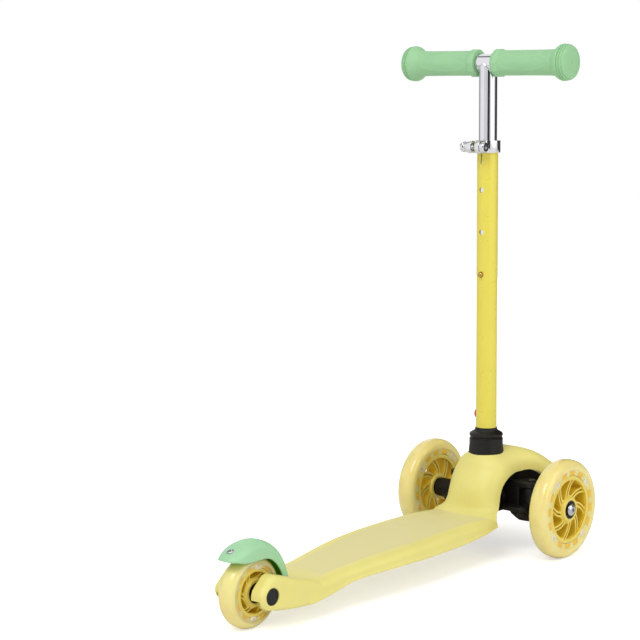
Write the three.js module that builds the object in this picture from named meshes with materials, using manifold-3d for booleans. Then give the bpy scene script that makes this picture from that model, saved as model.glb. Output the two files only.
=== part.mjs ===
// Three wheel kids scooter that steers by leaning. Millimetres, +X forward, +Y left, +Z up,
// with the wheels standing on z = 0 and the middle of the outline over the origin.
import * as THREE from 'three';
import { mergeVertices } from 'three/addons/utils/BufferGeometryUtils.js';
import Module from 'manifold-3d';

const wasm = await Module();
wasm.setup();

// Driving dimensions
const wheelbase = 449;
const trackWidth = 198;
const frontWheelRadius = 60;
const rearWheelRadius = 40;
const wheelWidth = 24;
const stemSetback = 20.5;
const stemTopHeight = 501;
const mastExposure = 92;
const handlebarWidth = 238;
const heightStep = 51;

// Clearances and cutting overrun
const fitGap = 0.3;
const runGap = 1.5;
const overrun = 2;

// Deck board
const deckHalfWidth = 54;
const deckTopHeight = 54;
const deckUnderHeight = 35;
const deckDraft = 1.5;
const deckEdgeRadius = 3;
const deckRollWidth = 15;
const deckRollDrop = 4;
const deckFrontSetback = 62;
const deckFloor = 5;
const deckWall = 4;
const ribThickness = 2.6;
const ribCount = 6;
const treadMargin = 16;
const treadDepth = 0.8;

// Neck and hood over the truck
const hoodHeight = 124;
const hoodHalfWidth = 63;
const hoodReach = 80;
const hoodWall = 3.2;
const archHeight = 98;
const noseRimHeight = 65;
const neckHalfWidth = 37.5;
const neckDepth = 36.5;
const linerThickness = 2.3;

// Rear fork
const forkReach = 16.5;
const forkPocketSetForward = -3;
const forkPocketRoof = 37;
const forkPocketWall = 3;
const forkInner = 18;
const forkRootSetback = 70;
const forkCornerRadius = 4;

// Stem
const outerTubeRadius = 12.7;
const innerTubeRadius = 11.1;
const tubeWall = 1.5;
const outerTubeFoot = 104;
const innerTubeTail = 35;
const holeRadius = 3.4;
const topHoleDrop = 59;
const slitWidth = 2;
const slitLength = 26;
const slitEndRadius = 1.7;
const capTopHeight = 151.5;
const capHeight = 13;
const socketRadius = 20.5;
const socketFlare = 0.7;

// Clamp
const clampHeight = 14.3;
const clampWall = 2.3;
const clampSplit = 6;
const earThickness = 5.4;
const earReach = 31;
const clampBoltSetback = 24;
const clampBoltRadius = 2.5;
const clampHeadRadius = 6.5;
const clampHeadLength = 6;
const clampNutLength = 11;

// Grips
const gripInnerGap = 12.5;
const gripRadius = 14.7;
const gripCollarRadius = 17;
const gripBulbRadius = 21.5;

// Buttons
const snapRadius = 3.1;
const snapProud = 3.5;
const releaseHeight = 167;
const releaseRadius = 5.9;
const releaseProud = 1.8;

// Truck
const leanAxisHeight = 66;
const truckHubRadius = 21.5;
const truckHalfDepth = 14;
const beamHalfDepth = 12;
const beamRoom = 11;
const beamTopHeight = archHeight - beamRoom;
const beamWaistHeight = frontWheelRadius * 0.85;
const yokeFootHeight = frontWheelRadius * 0.65;
const prongThickness = 7.6;
const kingpinOffset = 45;
const kingpinRadius = 3;
const barrelRadius = 10.7;
const yokeEndRadius = 12;
const steerArmLength = 22;
const tieRodHalfWidth = 6.5;
const tieRodThickness = 5.8;
const tieRodSlack = 0.8;
const pivotBoltRadius = 4;
const bushRadius = 9;
const housingHalfWidth = 24;

// Running gear shared by the three wheels
const axleRadius = 3.85;
const bearingRadius = 11;
const bearingBore = 4;
const bearingWidth = 7;
const hubHalfLength = 11.3;
const boltHeadRadius = 7.3;
const boltHeadLength = 4;
const socketHexRadius = 2.4;

// Brake
const flapHalfWidth = 16;
const flapPinSetForward = 52;
const flapPinHeight = 38.5;
const flapPinRadius = 2;
const flapBarrelRadius = 6.2;
const shoeGap = 5.5;

// Faceting
const fineSegments = 28;
const roundSegments = 18;
const smallSegments = 12;
const arcSegments = 6;

// Places worked out from the driving dimensions
const crossbarHeight = stemTopHeight + mastExposure;
const rearAxleX = -wheelbase;
const stemX = -stemSetback;
const wheelY = trackWidth / 2;
const kingpinY = wheelY - kingpinOffset;
const deckFrontX = -deckFrontSetback;
const forkRootX = rearAxleX + forkRootSetback;
const tubeBore = innerTubeRadius + fitGap;
const topHoleHeight = stemTopHeight - topHoleDrop;
const snapHeight = topHoleHeight - heightStep - heightStep;
const capFootHeight = capTopHeight - capHeight;
const clampFootHeight = stemTopHeight - clampHeight;

// Turns a closed geometry into a solid with its faces pointing out
function solid(geometry) {
  const bare = geometry.clone();
  Object.keys(bare.attributes).filter((name) => name !== 'position')
    .forEach((name) => bare.deleteAttribute(name));
  const welded = mergeVertices(bare);
  const place = welded.attributes.position.array;
  const index = welded.index.array;
  const faces = [];
  let volume = 0;
  const corner = [new THREE.Vector3(), new THREE.Vector3(), new THREE.Vector3()];
  for (let first = 0; first < index.length; first += 3) {
    const face = [index[first], index[first + 1], index[first + 2]];
    if (new Set(face).size < 3) continue;
    face.forEach((vertex, k) => corner[k].fromArray(place, vertex * 3));
    volume += corner[0].dot(corner[1].clone().cross(corner[2]));
    faces.push(face);
  }
  if (volume < 0) faces.forEach((face) => face.reverse());
  return new wasm.Manifold(new wasm.Mesh({
    numProp: 3,
    vertProperties: new Float32Array(place),
    triVerts: new Uint32Array(faces.flat()),
  }));
}

function geometryOf(body) {
  const mesh = body.getMesh();
  const geometry = new THREE.BufferGeometry();
  geometry.setAttribute('position', new THREE.BufferAttribute(mesh.vertProperties, 3));
  geometry.setIndex(new THREE.BufferAttribute(mesh.triVerts, 1));
  geometry.computeVertexNormals();
  return geometry;
}

const joined = (...bodies) => bodies.reduce((sum, body) => sum.add(body));

// Revolves [radius, station] points about an axis through centre
function turned(profile, axis, centre = [0, 0, 0], segments = roundSegments) {
  const points = profile.map(([radius, station]) => new THREE.Vector2(radius, station));
  const geometry = new THREE.LatheGeometry(points, segments);
  if (axis === 'z') geometry.rotateX(Math.PI / 2);
  if (axis === 'x') geometry.rotateZ(-Math.PI / 2);
  return solid(geometry.translate(...centre));
}

function rod(radius, axis, from, to, centre, segments) {
  return turned([[0, from], [radius, from], [radius, to], [0, to]], axis, centre, segments);
}

function pipe(bore, radius, axis, from, to, centre, segments) {
  const profile = [[bore, from], [radius, from], [radius, to], [bore, to], [bore, from]];
  return turned(profile, axis, centre, segments);
}

// Extrudes an outline: drawn in YZ along x, in XZ along y, or in XY along z
function prism(outline, axis, from, to) {
  const shape = outline instanceof THREE.Shape ? outline
    : new THREE.Shape(outline.map(([across, up]) => new THREE.Vector2(across, up)));
  const geometry = new THREE.ExtrudeGeometry(shape, {
    depth: to - from, bevelEnabled: false, curveSegments: arcSegments,
  });
  const [x, y, z] = [[1, 0, 0], [0, 1, 0], [0, 0, 1]].map((unit) => new THREE.Vector3(...unit));
  if (axis === 'x') geometry.applyMatrix4(new THREE.Matrix4().makeBasis(y, z, x));
  if (axis === 'y') geometry.applyMatrix4(new THREE.Matrix4().makeBasis(x, z, y.clone().negate()));
  const start = { x: [from, 0, 0], y: [0, to, 0], z: [0, 0, from] }[axis];
  return solid(geometry.translate(...start));
}

function block([x0, y0, z0], [x1, y1, z1]) {
  const geometry = new THREE.BoxGeometry(x1 - x0, y1 - y0, z1 - z0);
  return solid(geometry.translate((x0 + x1) / 2, (y0 + y1) / 2, (z0 + z1) / 2));
}

// Skins rings of equal length and closes both ends with a fan
function loft(rings) {
  const count = rings[0].length;
  const place = rings.flat().flatMap((point) => point.toArray());
  const faces = [];
  for (let ring = 0; ring < rings.length - 1; ring += 1) {
    for (let k = 0; k < count; k += 1) {
      const [a, b] = [ring * count + k, ring * count + (k + 1) % count];
      faces.push(a, b, b + count, a, b + count, a + count);
    }
  }
  [0, rings.length - 1].forEach((ring) => {
    const middle = new THREE.Vector3();
    rings[ring].forEach((point) => middle.addScaledVector(point, 1 / count));
    const hub = place.length / 3;
    place.push(...middle.toArray());
    for (let k = 0; k < count; k += 1) {
      const pair = [ring * count + k, ring * count + (k + 1) % count];
      faces.push(hub, ...(ring === 0 ? pair.reverse() : pair));
    }
  });
  const geometry = new THREE.BufferGeometry();
  geometry.setAttribute('position', new THREE.Float32BufferAttribute(place, 3));
  geometry.setIndex(faces);
  return solid(geometry);
}

// Smooth curve through [station, value] shares
function curveThrough(shares) {
  const slope = shares.map((_, k) => {
    const [before, after] = [shares[Math.max(k - 1, 0)], shares[Math.min(k + 1, shares.length - 1)]];
    return (after[1] - before[1]) / (after[0] - before[0]);
  });
  return (station) => {
    const next = shares.findIndex(([share]) => share > station);
    if (next === 0) return shares[0][1];
    if (next < 0) return shares[shares.length - 1][1];
    const [[s0, v0], [s1, v1]] = [shares[next - 1], shares[next]];
    const span = s1 - s0;
    const t = (station - s0) / span;
    const [t2, t3] = [t ** 2, t ** 3];
    return (2 * t3 - 3 * t2 + 1) * v0 + (t3 - 2 * t2 + t) * span * slope[next - 1]
      + (3 * t2 - 2 * t3) * v1 + (t3 - t2) * span * slope[next];
  };
}

const spread = (count) => Array.from({ length: count }, (_, k) => k / (count - 1));
const power = (value, exponent) => Math.sign(value) * Math.abs(value) ** exponent;

// Deck board, in shares of its length from the rear axle to the front face
const deckLength = deckFrontX - rearAxleX;
const deckWidthShares = [[0, 0.64], [0.06, 0.7], [0.13, 0.755], [0.23, 0.762], [0.3, 0.785], [0.4, 0.885],
  [0.49, 0.965], [0.62, 1.025], [0.72, 1.005], [0.82, 0.985], [0.92, 0.975], [1, 0.91]];
const deckTopShares = [[0, 0.8], [0.13, 0.796], [0.23, 0.8], [0.33, 0.865], [0.49, 0.943],
  [0.64, 0.978], [0.82, 0.998], [1, 0.95]];
const deckUnderShares = [[0, 0.6], [0.13, 0.57], [0.18, 0.61], [0.23, 0.69], [0.33, 0.9], [0.49, 0.974],
  [0.64, 0.989], [0.82, 1], [1, 1.17]];
const deckStation = (x) => (x - rearAxleX) / deckLength;
const widthCurve = curveThrough(deckWidthShares);
const topCurve = curveThrough(deckTopShares);
const underCurve = curveThrough(deckUnderShares);
const deckHalfAt = (x) => deckHalfWidth * widthCurve(deckStation(x));
const deckTopAt = (x) => deckTopHeight * topCurve(deckStation(x));
const deckUnderAt = (x) => deckUnderHeight * underCurve(deckStation(x));

function deckRing(x, inset, floor) {
  const half = deckHalfAt(x) - inset;
  const [top, under] = [deckTopAt(x) - floor, deckUnderAt(x) - (floor > 0 ? overrun : 0)];
  const shoulder = top - deckRollDrop;
  const side = [[half + deckDraft, under], [half + deckDraft / 3, shoulder - deckEdgeRadius],
    [half - deckEdgeRadius / 3, shoulder - deckEdgeRadius / 3],
    [half - deckRollWidth / 2, top - deckRollDrop / 4], [half - deckRollWidth, top]];
  const ring = [...side, ...side.map(([y, z]) => [-y, z]).reverse()];
  return ring.map(([y, z]) => new THREE.Vector3(x, y, z));
}

function board() {
  const [rear, front] = [forkRootX - forkRootSetback / 4, deckFrontX];
  return loft(spread(15).map((share) => deckRing(rear + share * (front - rear), 0, 0)));
}

// Ribbed hollow under the board
function underside() {
  const rear = forkRootX + flapBarrelRadius;
  const front = deckFrontX - neckDepth / 2;
  const hollow = loft(spread(11).map((share) =>
    deckRing(rear + share * (front - rear), deckWall, deckFloor)));
  const pitch = (front - rear) / (ribCount + 1);
  const ribs = Array.from({ length: ribCount }, (_, k) => rear + (k + 1) * pitch).map((x) =>
    block([x - ribThickness / 2, -deckHalfWidth, 0], [x + ribThickness / 2, deckHalfWidth, deckTopHeight]));
  const spine = block([rear - overrun, -ribThickness / 2, 0],
    [front + overrun, ribThickness / 2, deckTopHeight]);
  return hollow.subtract(joined(spine, ...ribs));
}

// Shallow recess of the tread, rounded at its rear end
function treadRecess() {
  const rear = forkRootX + flapBarrelRadius * 2;
  const front = deckFrontX - neckDepth;
  const roundShare = 0.12;
  return loft(spread(13).map((share) => {
    const x = rear + share * (front - rear);
    const closing = share < roundShare ? Math.sqrt(1 - (1 - share / roundShare) ** 2) : 1;
    const half = Math.max((deckHalfAt(x) - treadMargin) * closing, treadMargin);
    const [low, high] = [deckTopAt(x) - treadDepth, deckTopAt(x) + overrun];
    return [[half - treadDepth, low], [half + overrun, high], [-half - overrun, high],
      [treadDepth - half, low]].map(([y, z]) => new THREE.Vector3(x, y, z));
  }));
}

// Neck: level superellipse rings about the stem axis, [height, half width, half depth] shares
// and squareness
const neckShares = [[0.33, 1.3, 1.45, 5], [0.4, 1.27, 1.45, 5], [0.435, 1.2, 1.33, 4.5],
  [0.468, 1.13, 1.2, 4], [0.532, 1.067, 1.175, 3.4], [0.62, 1.035, 1.155, 3], [0.694, 1.02, 1.09, 2.8],
  [0.77, 1, 0.97, 2.6], [0.83, 0.955, 0.84, 2.4], [0.9, 0.86, 0.73, 2.3], [0.95, 0.665, 0.63, 2.2],
  [0.98, 0.52, 0.55, 2.1]];

function neck() {
  const sides = 24;
  return loft(neckShares.map(([height, half, depth, squareness]) =>
    Array.from({ length: sides }, (_, s) => {
      const turn = (s / sides) * 2 * Math.PI;
      return new THREE.Vector3(stemX + depth * neckDepth * power(Math.cos(turn), 2 / squareness),
        half * neckHalfWidth * power(Math.sin(turn), 2 / squareness), height * hoodHeight);
    })));
}

// Hood: upright sections from the stem axis to the nose, in shares of the distance between
const hoodLength = hoodReach - stemX;
const hoodBendShare = 0.82;
const hoodTopShares = [[0, 0.984], [0.25, 1.01], [0.45, 0.98], [0.65, 0.918], [0.82, 0.816]];
const hoodWidthShares = [[0, 0.571], [0.25, 0.627], [0.45, 0.802], [0.65, 0.906], [0.82, 1]];
const hoodRimShares = [[0, 1], [0.25, 1.005], [0.35, 1], [0.45, 0.955], [0.55, 0.855],
  [0.65, 0.72], [0.75, 0.665], [1, 0.663]];
const cavityTopShares = [[0, 0.79], [0.25, 0.79], [0.45, 0.85], [0.65, 0.865], [0.82, 0.79]];
const hoodTop = curveThrough(hoodTopShares);
const hoodWidth = curveThrough(hoodWidthShares);
const hoodRim = curveThrough(hoodRimShares);
const cavityTop = curveThrough(cavityTopShares);

const hoodRimAt = (share) => Math.max(archHeight * hoodRim(share), noseRimHeight);

function hoodStations() {
  const straight = spread(7).map((share) => ({ share: share * hoodBendShare, bend: 0 }));
  const round = [0.4, 0.75, 1.05, 1.28, 1.46].map((bend) =>
    ({ share: hoodBendShare + (1 - hoodBendShare) * Math.sin(bend), bend }));
  return [...straight, ...round];
}

// One loft serves the outside, the hollow and the liner, with an inset from the outside
function hoodForm(topCurveAt, inset, footAt, rearShare) {
  const arcPoints = 13;
  const squareness = curveThrough([[0, 2.6], [0.25, 2.9], [0.45, 3.4], [1, 3.2]]);
  const rearX = stemX - rearShare * hoodLength + inset;
  const stations = hoodStations();
  if (rearShare > 0) stations.unshift({ share: -rearShare, bend: 0 });
  return loft(stations.map(({ share, bend }) => {
    const reached = Math.max(share, 0);
    const close = Math.cos(bend);
    const x = share < 0 ? rearX : stemX + share * (hoodLength - inset);
    const base = footAt(reached);
    const fullTop = hoodHeight * topCurveAt(Math.min(reached, hoodBendShare));
    const top = base + (fullTop - base) * (bend > 0 ? (1 - Math.sin(bend) ** 3) ** (1 / 3) : 1);
    const half = (hoodHalfWidth * hoodWidth(Math.min(reached, hoodBendShare)) - inset)
      * (bend > 0 ? close ** 0.87 : 1);
    const exponent = 2 / squareness(reached);
    return spread(arcPoints).map((turn) => new THREE.Vector3(x,
      half * power(Math.cos(turn * Math.PI), exponent),
      base + (top - base) * power(Math.max(Math.sin(turn * Math.PI), 0), exponent)));
  }));
}

// Side view of the arch, from the deck's front foot over the truck
const archShares = [[-3.17, 0.3], [-3.15, 0.44], [-3.07, 0.51], [-2.78, 0.551], [-2.44, 0.592],
  [-2.2, 0.673], [-2.1, 0.735], [-2, 0.786], [-1.88, 0.837], [-1.73, 0.878], [-1.44, 0.929],
  [-1.05, 0.969], [-0.5, 0.995], [0.4, 1], [2, 1], [2, 0.3]];
const archOutline = (inset) => archShares.map(([along, up]) =>
  [along * stemSetback + (along < 0 ? inset : 0), up * archHeight - (up > 0.9 ? inset : 0)]);

// Fork arm: [along, top, foot] from behind the axle to the board, along in shares of the root's
// setback and heights in shares of the rear wheel's radius
const forkShares = [[-1, 1.04, 0.93], [-0.9, 1.16, 0.8], [-0.65, 1.28, 0.7], [-0.25, 1.42, 0.63],
  [0.05, 1.53, 0.59], [0.15, 1.51, 0.56], [0.37, 1.39, 0.515], [0.57, 1.275, 0.495], [0.79, 1.185, 0.495],
  [1, 1.08, 0.54]];

function forkArm(side) {
  const ringAt = (x, low, high) => {
    const [inner, outer] = [forkInner, deckHalfAt(Math.max(x, rearAxleX))];
    const round = Math.min(forkCornerRadius, (high - low) / 3);
    const ring = [[inner, low], [outer - round / 3, low], [outer, low + round / 2], [outer, high - round],
      [outer - round / 3, high - round / 3], [outer - round, high], [inner + round / 3, high],
      [inner, high - round / 3]];
    return ring.map(([y, z]) => new THREE.Vector3(x, side * y, z));
  };
  return loft(forkShares.map(([along, top, foot]) => {
    const x = rearAxleX + along * (along < 0 ? forkReach : forkRootSetback);
    return ringAt(x, foot * rearWheelRadius, top * rearWheelRadius);
  }));
}

const pinX = rearAxleX + flapPinSetForward;
const slotFrontX = pinX + flapBarrelRadius + runGap;
const capSeatRadius = 9.5;
const capInnerY = forkInner + bearingRadius - bearingWidth / 4;
const boltHeadSeatY = capInnerY - boltHeadLength;

function deck() {
  const arms = [forkArm(1), forkArm(-1)];
  const shapes = joined(board(), neck(), ...arms);
  const hood = hoodForm(hoodTop, 0, hoodRimAt, 0);
  const cavity = hoodForm(cavityTop, hoodWall, () => noseRimHeight - overrun, 0.13);
  const arch = prism(archOutline(0), 'y', -deckHalfWidth * 2, deckHalfWidth * 2);
  const stemBore = rod(socketRadius + socketFlare + fitGap, 'z', archHeight - overrun, hoodHeight + overrun,
    [stemX, 0, 0], roundSegments);
  const slot = block([rearAxleX - forkReach - overrun, -forkInner, 0],
    [slotFrontX, forkInner, deckTopHeight * 2]);
  const pockets = [1, -1].map((side) => {
    const [near, far] = [forkInner - overrun, deckHalfAt(rearAxleX) - forkPocketWall].map((y) => side * y);
    return block([rearAxleX - forkReach - overrun, Math.min(near, far), 0],
      [rearAxleX + forkPocketSetForward, Math.max(near, far), forkPocketRoof]);
  });
  const axle = rod(axleRadius + fitGap, 'y', -deckHalfWidth, deckHalfWidth,
    [rearAxleX, 0, rearWheelRadius], smallSegments);
  const capSeats = [1, -1].map((side) => {
    const [near, far] = [boltHeadSeatY - fitGap, deckHalfWidth].map((y) => side * y);
    return rod(capSeatRadius, 'y', Math.min(near, far), Math.max(near, far),
      [rearAxleX, 0, rearWheelRadius], roundSegments);
  });
  const pinHole = rod(flapPinRadius + fitGap, 'y', -forkInner - earThickness * 2,
    forkInner + earThickness * 2, [pinX, 0, flapPinHeight], smallSegments);
  const cuts = joined(cavity, stemBore, slot, ...pockets, axle, ...capSeats, pinHole, underside(),
    treadRecess());
  return shapes.subtract(arch).add(hood).subtract(cuts);
}

// Black housing that lines the hood and the arch and carries the lean pivot
function steeringHousing() {
  const skin = hoodWall + fitGap;
  const lowered = (drop) => curveThrough(cavityTopShares.map(([share, top]) =>
    [share, top - drop / hoodHeight]));
  const cavityFoot = () => noseRimHeight - overrun;
  const liningTop = lowered(fitGap);
  const edge = spread(12).map((share) => [stemX + share * hoodLength,
    Math.min(hoodRimAt(share) + hoodWall / 2, hoodHeight * liningTop(Math.min(share, hoodBendShare))
      - linerThickness)]);
  const below = prism([[-hoodLength, 0], [hoodLength, 0], [hoodLength, edge[edge.length - 1][1]],
    ...edge.reverse(), [-hoodLength, edge[edge.length - 1][1]]], 'y', -hoodHalfWidth, hoodHalfWidth);
  const outer = hoodForm(liningTop, skin, cavityFoot, 0.13).subtract(below);
  const inner = hoodForm(lowered(fitGap + linerThickness), skin + linerThickness, cavityFoot, 0.13)
    .subtract(block([-hoodLength, -hoodHalfWidth, 0], [truckHalfDepth, hoodHalfWidth, hoodHeight]));
  const wallRim = [4, 13];
  const band = [...archOutline(fitGap).slice(...wallRim),
    ...archOutline(fitGap + linerThickness).slice(...wallRim).reverse()];
  const bandHalf = neckHalfWidth - runGap;
  const wall = archOutline(fitGap).slice(4, 11);
  const [wallTopX, wallTop] = wall[wall.length - 1];
  const pier = [...wall, [wallTopX, wallTop - linerThickness],
    [pierFaceX, wallTop - 2 * linerThickness], [pierFaceX, beamWaistHeight - linerThickness]];
  const boltHole = rod(pivotBoltRadius + fitGap, 'x', pivotTailX - fitGap, 0,
    [0, 0, leanAxisHeight], smallSegments);
  return joined(outer.subtract(inner), prism(band, 'y', -bandHalf, bandHalf),
    prism(pier, 'y', -housingHalfWidth, housingHalfWidth)).subtract(boltHole);
}

// Lean pivot, along X under the stem
const pierFaceX = stemX - beamHalfDepth + runGap;
const pivotTailX = pierFaceX - truckHalfDepth / 2;
const pivotHeadX = truckHalfDepth + fitGap;

function pivotBolt() {
  const [shank, head] = [pivotBoltRadius, boltHeadRadius];
  const profile = [[0, pivotTailX], [shank, pivotTailX], [shank, pivotHeadX], [head, pivotHeadX],
    [head, pivotHeadX + boltHeadLength * 0.6], [head * 0.8, pivotHeadX + boltHeadLength],
    [0, pivotHeadX + boltHeadLength]];
  return turned(profile, 'x', [0, 0, leanAxisHeight], smallSegments);
}

const pivotSpacer = () => pipe(pivotBoltRadius + fitGap, pivotBoltRadius + tubeWall + fitGap, 'x',
  pierFaceX + fitGap, -truckHalfDepth - fitGap, [0, 0, leanAxisHeight], smallSegments);

const leanBush = () => pipe(pivotBoltRadius + fitGap, bushRadius, 'x', -truckHalfDepth, truckHalfDepth,
  [0, 0, leanAxisHeight], smallSegments);

function truckBeam() {
  const tip = kingpinY + yokeEndRadius;
  const yokeWall = kingpinY - barrelRadius - fitGap * 2;
  const yokeRoof = beamTopHeight - prongThickness;
  const yokeFloor = yokeFootHeight + prongThickness;
  const rightHalf = [[0, beamTopHeight], [tip, beamTopHeight], [tip, yokeRoof], [yokeWall, yokeRoof],
    [yokeWall, yokeFloor], [tip, yokeFloor], [tip, yokeFootHeight],
    [yokeWall + fitGap, yokeFootHeight], [yokeWall - barrelRadius, (yokeFootHeight + beamWaistHeight) / 2],
    [yokeWall / 2 + barrelRadius / 2, beamWaistHeight],
    [truckHubRadius / 2, leanAxisHeight - truckHubRadius]];
  const outline = [...rightHalf, ...rightHalf.slice(1).reverse().map(([y, z]) => [-y, z])];
  const across = prism(outline, 'x', -yokeEndRadius, yokeEndRadius);
  const plan = new THREE.Shape();
  plan.absarc(0, kingpinY, yokeEndRadius, 0, Math.PI, false);
  plan.lineTo(-beamHalfDepth, 0);
  plan.absarc(0, -kingpinY, yokeEndRadius, Math.PI, 2 * Math.PI, false);
  plan.lineTo(beamHalfDepth, 0);
  const trimmed = across.intersect(prism(plan, 'z', 0, hoodHeight));
  const hub = rod(truckHubRadius, 'x', -truckHalfDepth, truckHalfDepth, [0, 0, leanAxisHeight],
    roundSegments);
  const [nose, shelf] = [beamHalfDepth * 2.6, truckHubRadius / 2];
  const fairing = prism([[0, beamWaistHeight], [beamHalfDepth, yokeFloor],
    [nose * 0.8, yokeFloor - prongThickness / 2], [nose, beamWaistHeight],
    [nose, leanAxisHeight - shelf], [beamHalfDepth * 1.7, leanAxisHeight],
    [0, leanAxisHeight + shelf]], 'y', shelf - yokeWall, yokeWall - shelf);
  const boltWell = rod(boltHeadRadius + runGap, 'x', truckHalfDepth, nose + overrun, [0, 0, leanAxisHeight],
    smallSegments);
  const bushBore = rod(bushRadius + fitGap, 'x', -nose, nose, [0, 0, leanAxisHeight], smallSegments);
  const pins = [1, -1].map((side) => rod(kingpinRadius + fitGap, 'z', 0, hoodHeight,
    [0, side * kingpinY, 0], smallSegments));
  return joined(trimmed, hub, fairing).subtract(joined(boltWell, bushBore, ...pins));
}

function kingpin(side) {
  const headFoot = beamTopHeight + fitGap;
  const [shank, head, top] = [kingpinRadius, kingpinRadius * 1.7, headFoot + kingpinRadius * 0.8];
  const profile = [[0, yokeFootHeight], [shank, yokeFootHeight], [shank, headFoot], [head, headFoot],
    [head, (headFoot + top) / 2], [head * 0.7, top], [0, top]];
  return turned(profile, 'z', [0, side * kingpinY, 0], smallSegments);
}

// Knuckle in its yoke, with its spindle boss, steering arm and tie rod peg
const knuckleFoot = yokeFootHeight + prongThickness + fitGap;
const armTop = knuckleFoot + tieRodThickness;
const tieRodFoot = armTop + fitGap;
const bossEndY = wheelY - hubHalfLength - runGap;

function knuckle(side) {
  const centre = [0, side * kingpinY, 0];
  const barrelTop = beamTopHeight - prongThickness - fitGap;
  const barrel = rod(barrelRadius, 'z', knuckleFoot, barrelTop, centre, roundSegments);
  const along = (from, to) => [side * from, side * to].sort((a, b) => a - b);
  const axis = [0, 0, frontWheelRadius];
  const boss = rod(yokeEndRadius, 'y', ...along(kingpinY, bossEndY), axis, roundSegments);
  const journal = rod(bearingRadius / 2, 'y', ...along(kingpinY, wheelY - bearingRadius - fitGap), axis,
    smallSegments);
  const arm = new THREE.Shape();
  const armHalf = tieRodHalfWidth * 0.8;
  arm.absarc(-steerArmLength, side * kingpinY, armHalf, Math.PI / 2, Math.PI * 1.5, false);
  arm.lineTo(0, side * kingpinY - armHalf);
  arm.lineTo(0, side * kingpinY + armHalf);
  const peg = rod(tieRodHalfWidth * 0.4, 'z', knuckleFoot, tieRodFoot + tieRodThickness + fitGap,
    [-steerArmLength, side * kingpinY, 0], smallSegments);
  const pinBore = rod(kingpinRadius + fitGap, 'z', 0, hoodHeight, centre, smallSegments);
  const boltBore = rod(axleRadius + fitGap, 'y', ...along(axleTailY - fitGap, wheelY), axis, smallSegments);
  return joined(barrel, boss, journal, prism(arm, 'z', knuckleFoot, armTop), peg)
    .subtract(pinBore.add(boltBore));
}

const axleTailY = kingpinY + kingpinRadius * 2;
const axleHeadY = wheelY + bearingRadius + fitGap;

function axleBolt(side) {
  const [shank, head, tip] = [axleRadius, boltHeadRadius, axleHeadY + boltHeadLength];
  const profile = [[0, axleTailY], [shank, axleTailY], [shank, axleHeadY], [head, axleHeadY],
    [head, axleHeadY + boltHeadLength * 0.35], [head * 0.82, axleHeadY + boltHeadLength * 0.8],
    [head * 0.5, tip], [0, tip]].map(([radius, y]) => [radius, side * y]);
  const drive = turned([[0, tip - boltHeadLength * 0.7], [socketHexRadius, tip - boltHeadLength * 0.7],
    [socketHexRadius, tip + overrun], [0, tip + overrun]].map(([radius, y]) => [radius, side * y]),
  'y', [0, 0, frontWheelRadius], 6);
  return turned(profile, 'y', [0, 0, frontWheelRadius], smallSegments).subtract(drive);
}

function tieRod() {
  const outline = new THREE.Shape();
  const eye = tieRodHalfWidth * 1.1;
  outline.absarc(-steerArmLength, kingpinY, eye, 0, Math.PI, false);
  outline.lineTo(-steerArmLength - tieRodHalfWidth, 0);
  outline.absarc(-steerArmLength, -kingpinY, eye, Math.PI, 2 * Math.PI, false);
  outline.lineTo(-steerArmLength + tieRodHalfWidth, 0);
  const eyes = [1, -1].map((side) => rod(tieRodHalfWidth * 0.4 + tieRodSlack, 'z', 0, hoodHeight,
    [-steerArmLength, side * kingpinY, 0], smallSegments));
  return prism(outline, 'z', tieRodFoot, tieRodFoot + tieRodThickness).subtract(joined(...eyes));
}

// Stem
const tubeFromCentre = (radius) => stemX - radius;

function outerTube() {
  const centre = [stemX, 0, 0];
  const tube = pipe(tubeBore, outerTubeRadius, 'z', outerTubeFoot, stemTopHeight, centre);
  const rearWall = [tubeFromCentre(outerTubeRadius + overrun), stemX];
  const holes = [0, 1, 2].map((step) => rod(holeRadius, 'x', ...rearWall,
    [0, 0, topHoleHeight - step * heightStep], smallSegments));
  const slitEnd = rod(slitEndRadius, 'x', ...rearWall, [0, 0, stemTopHeight - slitLength], smallSegments);
  const slit = block([rearWall[0], -slitWidth / 2, stemTopHeight - slitLength],
    [stemX, slitWidth / 2, stemTopHeight + overrun]);
  const buttonHole = rod(releaseRadius + fitGap, 'y', 0, outerTubeRadius + overrun,
    [stemX, 0, releaseHeight], smallSegments);
  return tube.subtract(joined(...holes, slitEnd, slit, buttonHole));
}

function stemSocket() {
  const [bore, top] = [outerTubeRadius + fitGap, capFootHeight - fitGap];
  const foot = archHeight + fitGap;
  const profile = [[bore, foot], [socketRadius + socketFlare, foot],
    [socketRadius + socketFlare, hoodHeight],
    [socketRadius, (hoodHeight + top) / 2], [socketRadius, top - 1.5 * fitGap],
    [socketRadius - 1.5 * fitGap, top], [bore, top], [bore, foot]];
  return turned(profile, 'z', [stemX, 0, 0]);
}

function stemCap() {
  const bore = outerTubeRadius + fitGap;
  const flareShares = [[0.96, 0], [0.93, 0.06], [0.99, 0.2], [1, 0.3], [0.98, 0.42], [0.86, 0.55],
    [0.72, 0.68], [0.66, 0.84], [0.645, 1]];
  const outside = flareShares.map(([radius, up]) => [radius * socketRadius, capFootHeight + up * capHeight]);
  const profile = [[bore, capFootHeight], ...outside, [bore, capTopHeight], [bore, capFootHeight]];
  return turned(profile, 'z', [stemX, 0, 0]);
}

// Clamp round the slit top of the outer tube, its ears to the rear
const clampBoltX = stemX - clampBoltSetback;
const clampMiddle = clampFootHeight + clampHeight / 2;
const clampEarY = clampSplit / 2 + earThickness;

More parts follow.
